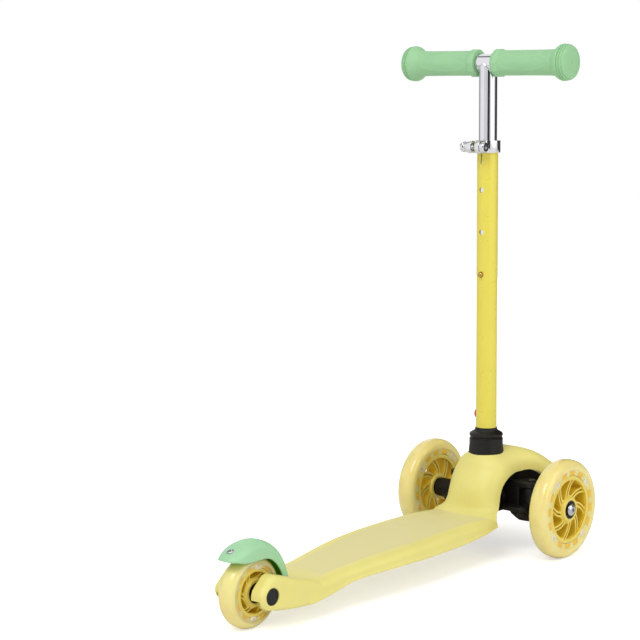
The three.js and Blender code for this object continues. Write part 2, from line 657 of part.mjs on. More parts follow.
function clampCollar() {
  const bore = outerTubeRadius + fitGap;
  const ring = pipe(bore, bore + clampWall, 'z', clampFootHeight, stemTopHeight, [stemX, 0, 0]);
  const nose = earReach - clampHeight / 4;
  const earShape = [[stemX - bore, clampFootHeight], [stemX - nose, clampFootHeight],
    [stemX - earReach, clampFootHeight + clampHeight / 4],
    [stemX - earReach, stemTopHeight - clampHeight / 4],
    [stemX - nose, stemTopHeight], [stemX - bore, stemTopHeight]];
  const ears = prism(earShape, 'y', -clampEarY, clampEarY);
  const tubeRoom = rod(bore, 'z', clampFootHeight - overrun, stemTopHeight + overrun, [stemX, 0, 0]);
  const split = block([stemX - earReach - overrun, -clampSplit / 2, clampFootHeight - overrun],
    [stemX, clampSplit / 2, stemTopHeight + overrun]);
  const boltHole = rod(clampBoltRadius + fitGap, 'y', -clampEarY - overrun, clampEarY + overrun,
    [clampBoltX, 0, clampMiddle], smallSegments);
  return ring.add(ears).subtract(joined(tubeRoom, split, boltHole));
}

function clampBolt() {
  const seat = -clampEarY - fitGap;
  const tip = clampEarY + clampNutLength * 0.8;
  const [shank, head] = [clampBoltRadius, clampHeadRadius];
  const profile = [[0, tip], [shank, tip], [shank, seat], [head, seat], [head, seat - clampHeadLength * 0.8],
    [head * 0.85, seat - clampHeadLength], [head * 0.45, seat - clampHeadLength],
    [head * 0.4, seat - clampHeadLength * 0.5], [0, seat - clampHeadLength * 0.5]];
  return turned(profile, 'y', [clampBoltX, 0, clampMiddle], smallSegments);
}

function clampNut() {
  const [bore, foot] = [clampBoltRadius + fitGap, clampEarY + fitGap];
  const body = clampHeadRadius;
  const profile = [[bore, foot], [body, foot], [body, foot + clampNutLength * 0.3],
    [body * 0.8, foot + clampNutLength * 0.4], [body * 0.8, foot + clampNutLength * 0.55],
    [body, foot + clampNutLength * 0.65], [body * 0.9, foot + clampNutLength],
    [bore, foot + clampNutLength], [bore, foot]];
  return turned(profile, 'y', [clampBoltX, 0, clampMiddle], smallSegments);
}

// Handlebar: sliding mast and crossbar, welded into one tee
const mastFoot = snapHeight - innerTubeTail;
const crossbarHalf = handlebarWidth / 2 - gripBulbRadius / 2;

function handlebarTee() {
  const bore = innerTubeRadius - tubeWall;
  const mast = rod(innerTubeRadius, 'z', mastFoot, crossbarHeight, [stemX, 0, 0]);
  const bar = rod(innerTubeRadius, 'y', -crossbarHalf, crossbarHalf, [stemX, 0, crossbarHeight]);
  const mastBore = rod(bore, 'z', mastFoot - overrun, crossbarHeight - innerTubeRadius, [stemX, 0, 0]);
  const barBore = rod(bore, 'y', -crossbarHalf - overrun, crossbarHalf + overrun,
    [stemX, 0, crossbarHeight]);
  const snapHole = rod(holeRadius, 'x', tubeFromCentre(outerTubeRadius), stemX, [0, 0, snapHeight],
    smallSegments);
  return mast.add(bar).subtract(joined(mastBore, barBore, snapHole));
}

// Grip along +Y, from the faceted inner collar to the domed end
function grip() {
  const [inner, end] = [gripInnerGap, handlebarWidth / 2];
  const bore = innerTubeRadius + fitGap;
  const length = end - inner;
  const at = (share) => inner + share * length;
  const bulbShares = [[0.84, 0.74], [0.88, 0.88], [0.92, 1], [0.945, 0.99], [0.95, 0.93], [0.958, 0.93],
    [0.962, 0.96], [0.978, 0.9], [0.99, 0.78], [0.997, 0.55]];
  const outside = bulbShares.map(([share, radius]) => [radius * gripBulbRadius, at(share)]);
  const profile = [[bore, inner], [gripRadius * 0.98, inner], [gripRadius, at(0.8)], ...outside, [0, end],
    [0, crossbarHalf + fitGap], [bore, crossbarHalf + fitGap], [bore, inner]];
  const core = gripRadius * 0.9;
  const collarProfile = [[core, inner], [gripCollarRadius * 0.92, inner], [gripCollarRadius, at(0.02)],
    [gripCollarRadius, at(0.07)], [gripCollarRadius * 0.88, at(0.095)], [core, at(0.095)], [core, inner]];
  return turned(profile, 'y', [0, 0, 0], roundSegments).add(turned(collarProfile, 'y', [0, 0, 0], 12));
}

// Bent leaf behind a button, its knee towards -X and its back leg against the far side
function leafSpring(knee, back, halfWidth) {
  const leaf = tubeWall / 2;
  const [low, top] = [-innerTubeTail / 2, innerTubeTail / 2];
  const shy = -knee / 2;
  const outline = [[shy, low], [-knee, 0], [shy, top], [back, top], [back, low], [back - leaf, low],
    [back - leaf, top - leaf], [shy + leaf, top - leaf], [leaf - knee, 0], [shy + leaf, low]];
  return prism(outline, 'y', -halfWidth, halfWidth);
}

function snapButton() {
  const [tip, inner] = [outerTubeRadius + snapProud, tubeBore];
  const profile = [[0, inner], [snapRadius, inner], [snapRadius, tip - snapProud * 0.5],
    [snapRadius * 0.75, tip - snapProud * 0.15], [0, tip]].map(([radius, out]) => [radius, stemX - out]);
  return turned(profile, 'x', [0, 0, snapHeight], smallSegments);
}

const releaseSeat = tubeBore / 2;

function releaseButton() {
  const tip = outerTubeRadius + releaseProud;
  const inner = releaseSeat;
  const flange = releaseRadius + fitGap * 2;
  const profile = [[0, inner], [flange, inner], [flange, inner + tubeWall],
    [releaseRadius, inner + tubeWall],
    [releaseRadius, tip - releaseProud / 4], [releaseRadius * 0.85, tip], [0, tip]];
  return turned(profile, 'y', [stemX, 0, releaseHeight], smallSegments);
}

// Rear axle through the fork
const rearCentre = [rearAxleX, 0, rearWheelRadius];

function rearAxleBolt() {
  const seat = -boltHeadSeatY;
  const tip = boltHeadSeatY + boltHeadLength;
  const profile = [[0, tip], [axleRadius, tip], [axleRadius, seat], [boltHeadRadius, seat],
    [boltHeadRadius, seat - boltHeadLength + fitGap], [0, seat - boltHeadLength + fitGap]];
  return turned(profile, 'y', rearCentre, smallSegments);
}

function rearAxleNut() {
  const ends = [boltHeadSeatY, boltHeadSeatY + boltHeadLength - fitGap];
  const bore = rod(axleRadius + fitGap, 'y', 0, deckHalfWidth, rearCentre, smallSegments);
  return rod(boltHeadRadius, 'y', ...ends, rearCentre, 6).subtract(bore);
}

function rearCap(side) {
  const [foot, face] = [capInnerY + fitGap * 2, deckHalfAt(rearAxleX) + fitGap];
  const radius = capSeatRadius - fitGap;
  const profile = [[0, foot], [radius, foot], [radius, face - fitGap], [radius - fitGap * 2, face],
    [0, face]].map(([r, y]) => [r, side * y]);
  return turned(profile, 'y', rearCentre, roundSegments);
}

function rearSpacer(side) {
  const ends = [bearingRadius + fitGap, forkInner - fitGap].map((y) => side * y).sort((a, b) => a - b);
  return pipe(axleRadius + fitGap, capSeatRadius, 'y', ...ends, rearCentre, roundSegments);
}

// Wheels are made round their own centre, outer side towards -Y
function wheelSizes(radius, rimShare, toothShare, shoulderShare, rimInnerShare, counts) {
  return {
    radius,
    rimRadius: radius * rimShare,
    toothRadius: radius * toothShare,
    shoulderDrop: radius * shoulderShare,
    rimInner: radius * rimInnerShare,
    ...counts,
  };
}

// Teeth and lamp modules share the places round a rim; the first module stands at firstTurn
const frontCounts = { places: 16, modules: 4, spokes: 8, firstTurn: 39, segments: fineSegments };
const rearCounts = { places: 12, modules: 2, spokes: 6, firstTurn: 81.5, segments: fineSegments };
const frontSizes = wheelSizes(frontWheelRadius, 0.683, 0.758, 0.167, 0.602, frontCounts);
const rearSizes = wheelSizes(rearWheelRadius, 0.663, 0.75, 0.2, 0.563, rearCounts);
const moduleSize = 8;

function ledModules(sizes, gap) {
  const half = moduleSize / 2 + gap;
  const [inner, outer] = [sizes.rimRadius - overrun, sizes.toothRadius + moduleSize / 2 + gap];
  const one = block([inner, -half, -half], [outer, half, half]);
  return joined(...Array.from({ length: sizes.modules }, (_, k) =>
    one.rotate([0, -sizes.firstTurn - k * 360 / sizes.modules, 0])));
}

function tyre(sizes) {
  const half = wheelWidth / 2;
  const [lip, lipY] = [sizes.rimRadius + fitGap, half - runGap];
  const [channel, channelY] = [sizes.toothRadius + fitGap, moduleSize * 0.65];
  const shoulder = sizes.radius - sizes.shoulderDrop;
  const crown = spread(7).map((share) => {
    const turn = (share - 0.5) * Math.PI;
    return [shoulder + sizes.shoulderDrop * Math.cos(turn) ** 0.8, half * power(Math.sin(turn), 0.8)];
  });
  const profile = [[lip, -lipY], ...crown, [lip, lipY], [lip, channelY], [channel, channelY],
    [channel, -channelY], [lip, -channelY], [lip, -lipY]];
  return turned(profile, 'y', [0, 0, 0], sizes.segments).subtract(ledModules(sizes, fitGap));
}

// Swirl spokes: the gap outlines follow a curve that turns as it runs out
function hub(sizes) {
  const { rimRadius, toothRadius, rimInner } = sizes;
  const bossRadius = bearingRadius + runGap + overrun;
  const swirl = -0.5;
  const spokeHalf = rimRadius * 0.1;
  const pitch = (2 * Math.PI) / sizes.spokes;
  const lean = (radius) => swirl * ((radius - bossRadius) / (rimInner - bossRadius));
  const polar = (radius, turn) => new THREE.Vector2(radius * Math.cos(turn), radius * Math.sin(turn));
  const ladder = (from, to, steps) => spread(steps).map((share) => from + share * (to - from));
  const gapOutline = (k) => {
    const radii = ladder(bossRadius + runGap, rimInner - runGap / 2, 3);
    const side = (way) => radii.map((radius, step) => {
      const corner = step === 0 || step === radii.length - 1 ? runGap / 2 : 0;
      return polar(radius, k * pitch + lean(radius) + way * (pitch / 2 - (spokeHalf + corner) / radius));
    });
    return [...side(-1), polar(rimInner, k * pitch + lean(rimInner)), ...side(1).reverse()];
  };
  const count = Array.from({ length: sizes.spokes }, (_, k) => k);
  const disc = new THREE.Shape();
  disc.absarc(0, 0, rimInner + overrun, 0, 2 * Math.PI, false);
  count.forEach((k) => disc.holes.push(new THREE.Path(gapOutline(k))));
  const webHalf = wheelWidth * 0.34;
  const web = prism(disc, 'y', -webHalf, webHalf);
  const rimHalf = wheelWidth / 2 - runGap;
  const rim = pipe(rimInner, rimRadius, 'y', -rimHalf, rimHalf, [0, 0, 0], sizes.segments);
  const places = Array.from({ length: sizes.places }, (_, k) => k);
  const teeth = places.filter((k) => k % (sizes.places / sizes.modules) > 0).map((k) => {
    const arc = new THREE.Shape();
    const half = (Math.PI / sizes.places) * 0.62;
    const middle = THREE.MathUtils.degToRad(sizes.firstTurn) + ((2 * Math.PI) / sizes.places) * k;
    arc.setFromPoints([[rimRadius - runGap, -half], [toothRadius, -half],
      [toothRadius, half], [rimRadius - runGap, half]]
      .map(([radius, turn]) => polar(radius, middle + turn)));
    return prism(arc, 'y', -moduleSize / 2, moduleSize / 2);
  });
  const boss = rod(bossRadius, 'y', -hubHalfLength, hubHalfLength, [0, 0, 0], smallSegments);
  const seats = [1, -1].map((side) => {
    const ends = [bearingRadius - bearingWidth - fitGap, hubHalfLength + overrun]
      .map((y) => side * y).sort((a, b) => a - b);
    return rod(bearingRadius + fitGap, 'y', ...ends, [0, 0, 0], smallSegments);
  });
  const through = rod(bearingRadius - runGap, 'y', -hubHalfLength, hubHalfLength, [0, 0, 0], smallSegments);
  return joined(web, rim, ...teeth, boss, ledModules(sizes, 0))
    .subtract(joined(...seats, through));
}

function bearing(side) {
  const ends = [bearingRadius - bearingWidth, bearingRadius].map((y) => side * y).sort((a, b) => a - b);
  return pipe(bearingBore + fitGap / 2, bearingRadius, 'y', ...ends, [0, 0, 0], smallSegments);
}

const sleeve = () => pipe(bearingBore + fitGap / 2, bearingBore + tubeWall, 'y',
  bearingWidth - bearingRadius + fitGap, bearingRadius - bearingWidth - fitGap, [0, 0, 0], smallSegments);

// Brake flap over the rear wheel, from its tail forward and down to its hinge: each station
// gives crest and edge places about the axle, then the width
const flapReach = 50;
const flapCrest = 56;
const flapShares = [[-0.81, 0.775, -0.8, 0.745, 0.25], [-0.77, 0.812, -0.765, 0.745, 0.6],
  [-0.68, 0.855, -0.68, 0.735, 0.84], [-0.54, 0.918, -0.54, 0.7, 0.96], [-0.36, 0.973, -0.36, 0.68, 1],
  [-0.1, 1, -0.1, 0.68, 1], [0.1, 0.985, 0.04, 0.68, 1], [0.28, 0.937, 0.18, 0.655, 1],
  [0.44, 0.866, 0.3, 0.616, 1], [0.62, 0.732, 0.42, 0.53, 1], [0.76, 0.571, 0.52, 0.43, 1],
  [0.86, 0.393, 0.6, 0.32, 1], [0.94, 0.214, 0.66, 0.22, 1], [1, 0.036, 0.72, 0.05, 1]];
const screwHeadRadius = 3.4;
const screwLength = 7;

function flapRing([crestAlong, crestUp, edgeAlong, edgeUp, width]) {
  const half = width * flapHalfWidth;
  const place = (along, up) => new THREE.Vector3(rearAxleX + along * flapReach, 0,
    rearWheelRadius + up * flapCrest);
  const edge = place(edgeAlong, edgeUp);
  const across = place(crestAlong, crestUp).sub(edge);
  const rise = Math.min(half / 2 / across.length(), 0.85);
  const sweep = spread(9).map((share) => (share - 0.5) * Math.PI);
  return [...sweep.map((turn) => edge.clone().addScaledVector(across, 1 - rise + rise * Math.cos(turn))
    .setY(half * Math.sin(turn))), edge.clone().setY(half), edge.clone().setY(-half)];
}

// Each screw stands in the flap: [along, up, tilt] about the axle
const screwShares = { tail: [-0.55, 0.912, -0.38], front: [0.905, 0.25, 1.33] };

function screwAt(name, body) {
  const [along, up, tilt] = screwShares[name];
  return body.rotate([0, THREE.MathUtils.radToDeg(tilt), 0])
    .translate([rearAxleX + along * flapReach, 0, rearWheelRadius + up * flapCrest]);
}

function flapScrew(name, gap = 0) {
  const [shank, head, thick] = [screwHeadRadius / 2 + gap, screwHeadRadius + gap, screwHeadRadius / 3 + gap];
  const length = (name === 'tail' ? screwLength : screwLength / 2) + gap;
  const top = gap > 0 ? screwLength : 0;
  return screwAt(name, turned([[0, -length], [shank, -length], [shank, -thick], [head, -thick], [head, top],
    [0, top]], 'z', [0, 0, 0], smallSegments));
}

function brakeFlap() {
  const shell = loft(flapShares.map(flapRing));
  const barrel = rod(flapBarrelRadius, 'y', -flapHalfWidth, flapHalfWidth, [pinX, 0, flapPinHeight],
    smallSegments);
  const wheelRoom = rod(rearWheelRadius + shoeGap, 'y', -wheelWidth / 2 - runGap, wheelWidth / 2 + runGap,
    rearCentre, fineSegments);
  const screwBoss = screwAt('front', rod(screwHeadRadius * 1.6, 'z', -screwLength * 0.8, -fitGap,
    [0, 0, 0], smallSegments));
  const pinHole = rod(flapPinRadius + fitGap, 'y', -deckHalfWidth, deckHalfWidth, [pinX, 0, flapPinHeight],
    smallSegments);
  const wells = ['tail', 'front'].map((name) => flapScrew(name, fitGap));
  return shell.add(barrel).subtract(wheelRoom).add(screwBoss).subtract(joined(pinHole, ...wells));
}

const brakePin = () => rod(flapPinRadius, 'y', -forkInner - earThickness * 2 + fitGap,
  forkInner + earThickness * 2 - fitGap, [pinX, 0, flapPinHeight], smallSegments);

// Materials
function finish(color, roughness, metalness = 0) {
  return new THREE.MeshStandardMaterial({ color, roughness, metalness });
}

const paleYellow = () => finish(0xeee48c, 0.55);
const black = () => finish(0x232323, 0.5);
const mint = () => finish(0xa8deaa, 0.6);
const chrome = () => finish(0xd8d8dc, 0.12, 1);
const steel = () => finish(0xb4b6ba, 0.3, 1);

const scooter = new THREE.Group();

function addPiece(name, body, material, parent = scooter) {
  const mesh = new THREE.Mesh(body instanceof THREE.BufferGeometry ? body : geometryOf(body), material);
  mesh.name = name;
  parent.add(mesh);
  return mesh;
}

// Chassis
addPiece('deck', deck(), paleYellow());
addPiece('steering_housing', steeringHousing(), black());
addPiece('stem_socket', stemSocket(), black());
addPiece('stem_cap', stemCap(), black());
addPiece('outer_tube', outerTube(), finish(0xe8da5a, 0.35));
addPiece('clamp_collar', clampCollar(), chrome());
addPiece('clamp_bolt', clampBolt(), chrome());
addPiece('clamp_nut', clampNut(), chrome());
addPiece('pivot_bolt', pivotBolt(), steel());
addPiece('pivot_spacer', pivotSpacer(), steel());
addPiece('rear_axle_bolt', rearAxleBolt(), steel());
addPiece('rear_axle_nut', rearAxleNut(), steel());
addPiece('brake_pin', brakePin(), steel());

// Parts that stand left and right
[['left', 1], ['right', -1]].forEach(([name, side]) => {
  addPiece(`rear_cap_${name}`, rearCap(side), black());
  addPiece(`rear_spacer_${name}`, rearSpacer(side), black());
  addPiece(`kingpin_${name}`, kingpin(side), steel());
  addPiece(`knuckle_${name}`, knuckle(side), black());
  addPiece(`axle_bolt_${name}`, axleBolt(side), steel());
});

// Truck
addPiece('truck_beam', truckBeam(), black());
addPiece('lean_bush', leanBush(), finish(0x3a3a3a, 0.9));
addPiece('tie_rod', tieRod(), black());

// Buttons and their leaf springs
addPiece('snap_button', snapButton(), finish(0xb08a3c, 0.3, 1));
addPiece('release_button', releaseButton(), finish(0xb83228, 0.4));
const [snapKnee, snapBack] = [bearingWidth, innerTubeRadius - tubeWall * 1.75];
const snapSpring = addPiece('snap_spring', leafSpring(snapKnee, snapBack, holeRadius), steel());
snapSpring.position.set(stemX, 0, snapHeight);
const releaseLeaf = leafSpring(releaseSeat - fitGap, releaseSeat, holeRadius);
const releaseSpring = addPiece('release_spring', releaseLeaf, steel());
releaseSpring.position.set(stemX, 0, releaseHeight);
releaseSpring.rotation.z = -Math.PI / 2;

// Handlebar
addPiece('handlebar_tee', handlebarTee(), chrome());
const gripGeometry = geometryOf(grip());
[['left', 0], ['right', Math.PI]].forEach(([name, turn]) => {
  const placed = addPiece(`grip_${name}`, gripGeometry, mint());
  placed.position.set(stemX, 0, crossbarHeight);
  placed.rotation.z = turn;
});

// Brake
addPiece('brake_flap', brakeFlap(), mint());
['tail', 'front'].forEach((name) => addPiece(`brake_screw_${name}`, flapScrew(name), steel()));

// Wheels
[['front_left', frontSizes, [0, wheelY, frontWheelRadius], Math.PI],
  ['front_right', frontSizes, [0, -wheelY, frontWheelRadius], 0],
  ['rear', rearSizes, rearCentre, 0]].forEach(([name, sizes, centre, turn]) => {
  const wheel = new THREE.Group();
  wheel.position.set(...centre);
  wheel.rotation.z = turn;
  scooter.add(wheel);
  addPiece(`${name}_tyre`, tyre(sizes), finish(0xf0de96, 0.25), wheel);
  addPiece(`${name}_hub`, hub(sizes), finish(0xe8cc28, 0.45), wheel);
  addPiece(`${name}_bearing_outer`, bearing(-1), steel(), wheel);
  addPiece(`${name}_bearing_inner`, bearing(1), steel(), wheel);
  addPiece(`${name}_sleeve`, sleeve(), steel(), wheel);
});

// The middle of the outline stands over the origin
const outline = new THREE.Box3().setFromObject(scooter);
scooter.position.x = -(outline.min.x + outline.max.x) / 2;

const model = new THREE.Group();
model.add(scooter);
export default model;
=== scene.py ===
import math

import bmesh
import bpy
import numpy as np
from mathutils import Matrix, Vector


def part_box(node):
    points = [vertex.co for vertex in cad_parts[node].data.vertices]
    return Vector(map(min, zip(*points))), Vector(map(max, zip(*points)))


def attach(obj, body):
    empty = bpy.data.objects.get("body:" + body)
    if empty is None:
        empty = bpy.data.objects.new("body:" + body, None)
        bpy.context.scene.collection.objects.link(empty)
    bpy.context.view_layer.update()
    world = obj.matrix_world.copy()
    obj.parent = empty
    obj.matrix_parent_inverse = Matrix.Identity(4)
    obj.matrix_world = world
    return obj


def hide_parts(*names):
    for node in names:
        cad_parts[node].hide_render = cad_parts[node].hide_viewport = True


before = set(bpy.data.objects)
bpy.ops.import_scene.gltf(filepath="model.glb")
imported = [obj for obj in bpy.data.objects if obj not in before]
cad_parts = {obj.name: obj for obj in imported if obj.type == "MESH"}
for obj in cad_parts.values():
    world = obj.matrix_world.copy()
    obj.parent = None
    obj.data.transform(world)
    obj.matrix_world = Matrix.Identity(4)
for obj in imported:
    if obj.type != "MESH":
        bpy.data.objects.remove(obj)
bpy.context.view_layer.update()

# Sizes in millimetres from the middle of the front axle, at the ground, as in the part's own tables
WHEELBASE = 449
TRACK = 198
FRONT_RADIUS = 60
REAR_RADIUS = 40
WHEEL_HALF = 12
STEM_X = -20.5
STEM_TOP = 501
CROSSBAR = 593
BAR_HALF = 119
HEIGHT_STEP = 51
GAP = 0.3
RUN_GAP = 1.5
OVERRUN = 2

DECK_HALF = 54
DECK_TOP = 54
DECK_UNDER = 35
DECK_DRAFT = 1.5
DECK_FRONT = -62
DECK_FLOOR = 5
DECK_WALL = 4
RIB = 2.6
RIBS = 6
TREAD_MARGIN = 16
TREAD_DEPTH = 0.8

HOOD_HEIGHT = 124
HOOD_HALF = 63
HOOD_REACH = 80
HOOD_WALL = 3.2
ARCH_HEIGHT = 98
NOSE_RIM = 65
NECK_HALF = 37.5
NECK_DEPTH = 36.5

FORK_REACH = 16.5
FORK_INNER = 18
FORK_ROOT = 70
PIN_FORWARD = 52
PIN_HEIGHT = 38.5
PIN_RADIUS = 2
PIN_REACH = 11
BARREL_RADIUS = 6.2
CAP_SEAT = 9.5

OUTER_TUBE = 12.7
INNER_TUBE = 11.1
TUBE_WALL = 1.5
TUBE_FOOT = 104
HOLE_RADIUS = 3.4
TOP_HOLE = STEM_TOP - 59
SNAP_HEIGHT = TOP_HOLE - 2 * HEIGHT_STEP
MAST_FOOT = SNAP_HEIGHT - 35
SOCKET_RADIUS = 20.5
CAP_FOOT = 138.5
CAP_HEIGHT = 13
RELEASE_HEIGHT = 167
RELEASE_RADIUS = 5.9
CLAMP_HEIGHT = 14.3

AXLE_RADIUS = 3.85
BEARING_RADIUS = 11
HUB_HALF = 11.3
BOLT_HEAD = 7.3

REAR_X = -WHEELBASE
FORK_ROOT_X = REAR_X + FORK_ROOT
PIN_X = REAR_X + PIN_FORWARD
WHEEL_Y = TRACK / 2
KINGPIN_Y = WHEEL_Y - 45

front_low, front_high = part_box("front_right_tyre")
AXLE_X = (front_low[0] + front_high[0]) / 2
TO_ROW = Matrix.Translation((AXLE_X, 0, 0)) @ Matrix.Scale(0.001, 4)
SOFT_CREASE = math.radians(32)
FINE = 96
ORIGIN = (0, 0, 0)


# Meshes from plain tables, in millimetres
def mesh_of(points, faces):
    mesh = bpy.data.meshes.new("form")
    mesh.from_pydata([tuple(point) for point in points], [], faces)
    form = bmesh.new()
    form.from_mesh(mesh)
    bmesh.ops.remove_doubles(form, verts=form.verts, dist=1e-4)
    bmesh.ops.recalc_face_normals(form, faces=form.faces)
    form.to_mesh(mesh)
    form.free()
    return mesh


def add_object(name, data):
    result = bpy.data.objects.new(name, data)
    bpy.context.scene.collection.objects.link(result)
    return result


def evaluated(mesh, adjust):
    """The mesh after the modifiers that adjust() puts on a passing object."""
    carrier = add_object("carrier", mesh)
    helpers = adjust(carrier) or []
    graph = bpy.context.evaluated_depsgraph_get()
    result = bpy.data.meshes.new_from_object(carrier.evaluated_get(graph))
    for passing in [carrier, *helpers]:
        bpy.data.objects.remove(passing)
    return result


def combined(mesh, operation, others):
    for other in others:
        def adjust(carrier, other=other):
            tool = add_object("tool", other)
            tool.hide_render = True
            step = carrier.modifiers.new("step", "BOOLEAN")
            step.operation, step.solver, step.object = operation, "MANIFOLD", tool
            return [tool]
        mesh = evaluated(mesh, adjust)
    return mesh


def cut(mesh, *others):
    return combined(mesh, "DIFFERENCE", others)


def joined(mesh, *others):
    return combined(mesh, "UNION", others)


def bevelled(mesh, width, segments=3, angle=30):
    def adjust(carrier):
        step = carrier.modifiers.new("step", "BEVEL")
        step.width, step.segments, step.limit_method = width, segments, "ANGLE"
        step.angle_limit, step.use_clamp_overlap = math.radians(angle), True
    return evaluated(mesh, adjust)


def remeshed(mesh, size):
    def adjust(carrier):
        step = carrier.modifiers.new("step", "REMESH")
        step.mode, step.voxel_size = "VOXEL", size
    return evaluated(mesh, adjust)


def places_of(mesh):
    places = np.empty(len(mesh.vertices) * 3)
    mesh.vertices.foreach_get("co", places)
    return places.reshape(-1, 3)


def with_places(mesh, places):
    mesh.vertices.foreach_set("co", places.ravel())
    mesh.update()
    return mesh


def relaxed(mesh, passes, weight=1.0):
    """Laplacian smoothing, stronger where weight, a number or one per vertex, is higher."""
    places = places_of(mesh)
    ends = np.empty(len(mesh.edges) * 2, dtype=np.int64)
    mesh.edges.foreach_get("vertices", ends)
    first, second = ends.reshape(-1, 2).T
    count = len(places)
    degree = np.bincount(ends, minlength=count)[:, None]
    share = 0.5 * np.broadcast_to(weight, count)[:, None]
    for _ in range(passes):
        total = np.stack([np.bincount(first, places[second, axis], count)
                          + np.bincount(second, places[first, axis], count) for axis in range(3)], 1)
        places += share * (total / degree - places)
    return with_places(mesh, places)


def smoothed(mesh, size, passes):
    """Remeshed in cubes of this size and relaxed."""
    return relaxed(remeshed(mesh, size), passes)


AXES = {"x": (1, 2, 0), "y": (0, 2, 1), "z": (0, 1, 2)}


def on_axis(axis, across, up, along):
    point = [0, 0, 0]
    for index, value in zip(AXES[axis], (across, up, along)):
        point[index] = value
    return point


def lathe(profile, axis, centre=ORIGIN, segments=FINE):
    """Revolves [radius, station] points about an axis through centre."""
    closed = tuple(profile[0]) == tuple(profile[-1])
    rows = profile[:-1] if closed else profile
    points, faces = [], []
    for radius, station in rows:
        for turn in around(segments):
            place = on_axis(axis, radius * math.cos(turn), radius * math.sin(turn), station)
            points.append([place[k] + centre[k] for k in range(3)])
    last = len(rows) if closed else len(rows) - 1
    for row in range(last):
        here, there = row * segments, ((row + 1) % len(rows)) * segments
        for k in range(segments):
            n = (k + 1) % segments
            faces.append([here + k, here + n, there + n, there + k])
    return mesh_of(points, faces)


def rod(radius, axis, start, end, centre=ORIGIN, segments=FINE):
    return lathe([(0, start), (radius, start), (radius, end), (0, end)], axis, centre, segments)


def drill(radius, axis, start, end, centre=ORIGIN, chamfer=0.5, face=None):
    """A rod that widens as it comes through the face at end, so the hole's rim is eased."""
    face = end - OVERRUN if face is None else face
    way = math.copysign(1, end - start)
    return lathe([(0, start), (radius, start), (radius, face - way * chamfer),
                  (radius + 2 * chamfer, face + way * chamfer), (radius + 2 * chamfer, end), (0, end)],
                 axis, centre, 48)


def eased(profile, radius, steps=4):
    """Rounds the inner corners of a profile."""
    closed = tuple(profile[0]) == tuple(profile[-1])
    points = [Vector(point) for point in (profile[:-1] if closed else profile)]
    result = []
    for k, point in enumerate(points):
        if not closed and k in (0, len(points) - 1):
            result.append(point)
            continue
        before, after = points[k - 1] - point, points[(k + 1) % len(points)] - point
        reach = min(radius, 0.45 * before.length, 0.45 * after.length)
        start, end = point + before.normalized() * reach, point + after.normalized() * reach
        for step in range(steps + 1):
            t = step / steps
            result.append((1 - t) ** 2 * start + 2 * t * (1 - t) * point + t ** 2 * end)
    rounded = [tuple(point) for point in result]
    return rounded + rounded[:1] if closed else rounded


def around(count):
    return np.arange(count) * 2 * math.pi / count


def prism(outline, axis, start, end):
    count = len(outline)
    points = [on_axis(axis, across, up, level) for level in (start, end) for across, up in outline]
    faces = [[k, (k + 1) % count, count + (k + 1) % count, count + k] for k in range(count)]
    faces += [list(range(count)), list(range(count, 2 * count))]
    return mesh_of(points, faces)


def block(low, high):
    (x0, y0, z0), (x1, y1, z1) = low, high
    return prism([(x0, y0), (x1, y0), (x1, y1), (x0, y1)], "z", z0, z1)


def loft(rings):
    """Skins rings of equal length and closes both ends with a fan."""
    count = len(rings[0])
    points = [point for ring in rings for point in ring]
    faces = []
    for ring in range(len(rings) - 1):
        for k in range(count):
            a, b = ring * count + k, ring * count + (k + 1) % count
            faces.append([a, b, b + count, a + count])
    for ring in (0, len(rings) - 1):
        hub = len(points)
        points.append(np.mean(np.array(rings[ring], dtype=float), axis=0))
        faces += [[hub, ring * count + k, ring * count + (k + 1) % count] for k in range(count)]
    return mesh_of(points, faces)


def curve_through(shares):
    """Smooth curve through [station, value] pairs."""
    stations = [share[0] for share in shares]
    values = [share[1] for share in shares]
    last = len(shares) - 1
    slopes = []
    for k in range(last + 1):
        before, after = max(k - 1, 0), min(k + 1, last)
        slopes.append((values[after] - values[before]) / (stations[after] - stations[before]))

    def at(station):
        if station <= stations[0]:
            return values[0]
        if station >= stations[-1]:
            return values[-1]
        k = next(n for n in range(last) if stations[n + 1] > station)
        span = stations[k + 1] - stations[k]
        t = (station - stations[k]) / span
        return ((2 * t ** 3 - 3 * t ** 2 + 1) * values[k] + (t ** 3 - 2 * t ** 2 + t) * span * slopes[k]
                + (3 * t ** 2 - 2 * t ** 3) * values[k + 1] + (t ** 3 - t ** 2) * span * slopes[k + 1])
    return at


def smooth_rows(rows, count):
    """A table of rows, drawn as smooth curves and read off at count even steps."""
    curves = [curve_through([(k, row[column]) for k, row in enumerate(rows)])
              for column in range(len(rows[0]))]
    return [[curve(t) for curve in curves] for t in np.linspace(0, len(rows) - 1, count)]


def power(value, exponent):
    return math.copysign(abs(value) ** exponent, value)


def moved(mesh, matrix):
    copy = mesh.copy()
    copy.transform(matrix)
    return copy


# Pieces: a mesh in millimetres becomes an object in the row frame that rides on a body
def piece(name, mesh, body, material, replaces=(), centre=None, crease=SOFT_CREASE):
    marks = [face.material_index for face in mesh.polygons]
    mesh.materials.clear()
    for entry in material if isinstance(material, (list, tuple)) else [material]:
        mesh.materials.append(entry)
    if len(mesh.materials) > 1:
        mesh.polygons.foreach_set("material_index", marks)
    form = bmesh.new()
    form.from_mesh(mesh)
    bmesh.ops.dissolve_degenerate(form, edges=form.edges, dist=1e-4)
    for face in form.faces:
        face.smooth = True
    for edge in form.edges:
        edge.smooth = edge.calc_face_angle(0) < crease
    form.to_mesh(mesh)
    form.free()
    mesh.name = name
    result = add_object(name, mesh)
    if centre is None:
        mesh.transform(TO_ROW)
    else:
        mesh.transform(Matrix.Scale(0.001, 4))
        result.location = TO_ROW @ Vector(centre)
        bpy.context.view_layer.update()
    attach(result, body)
    if replaces:
        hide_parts(*replaces)
    return result


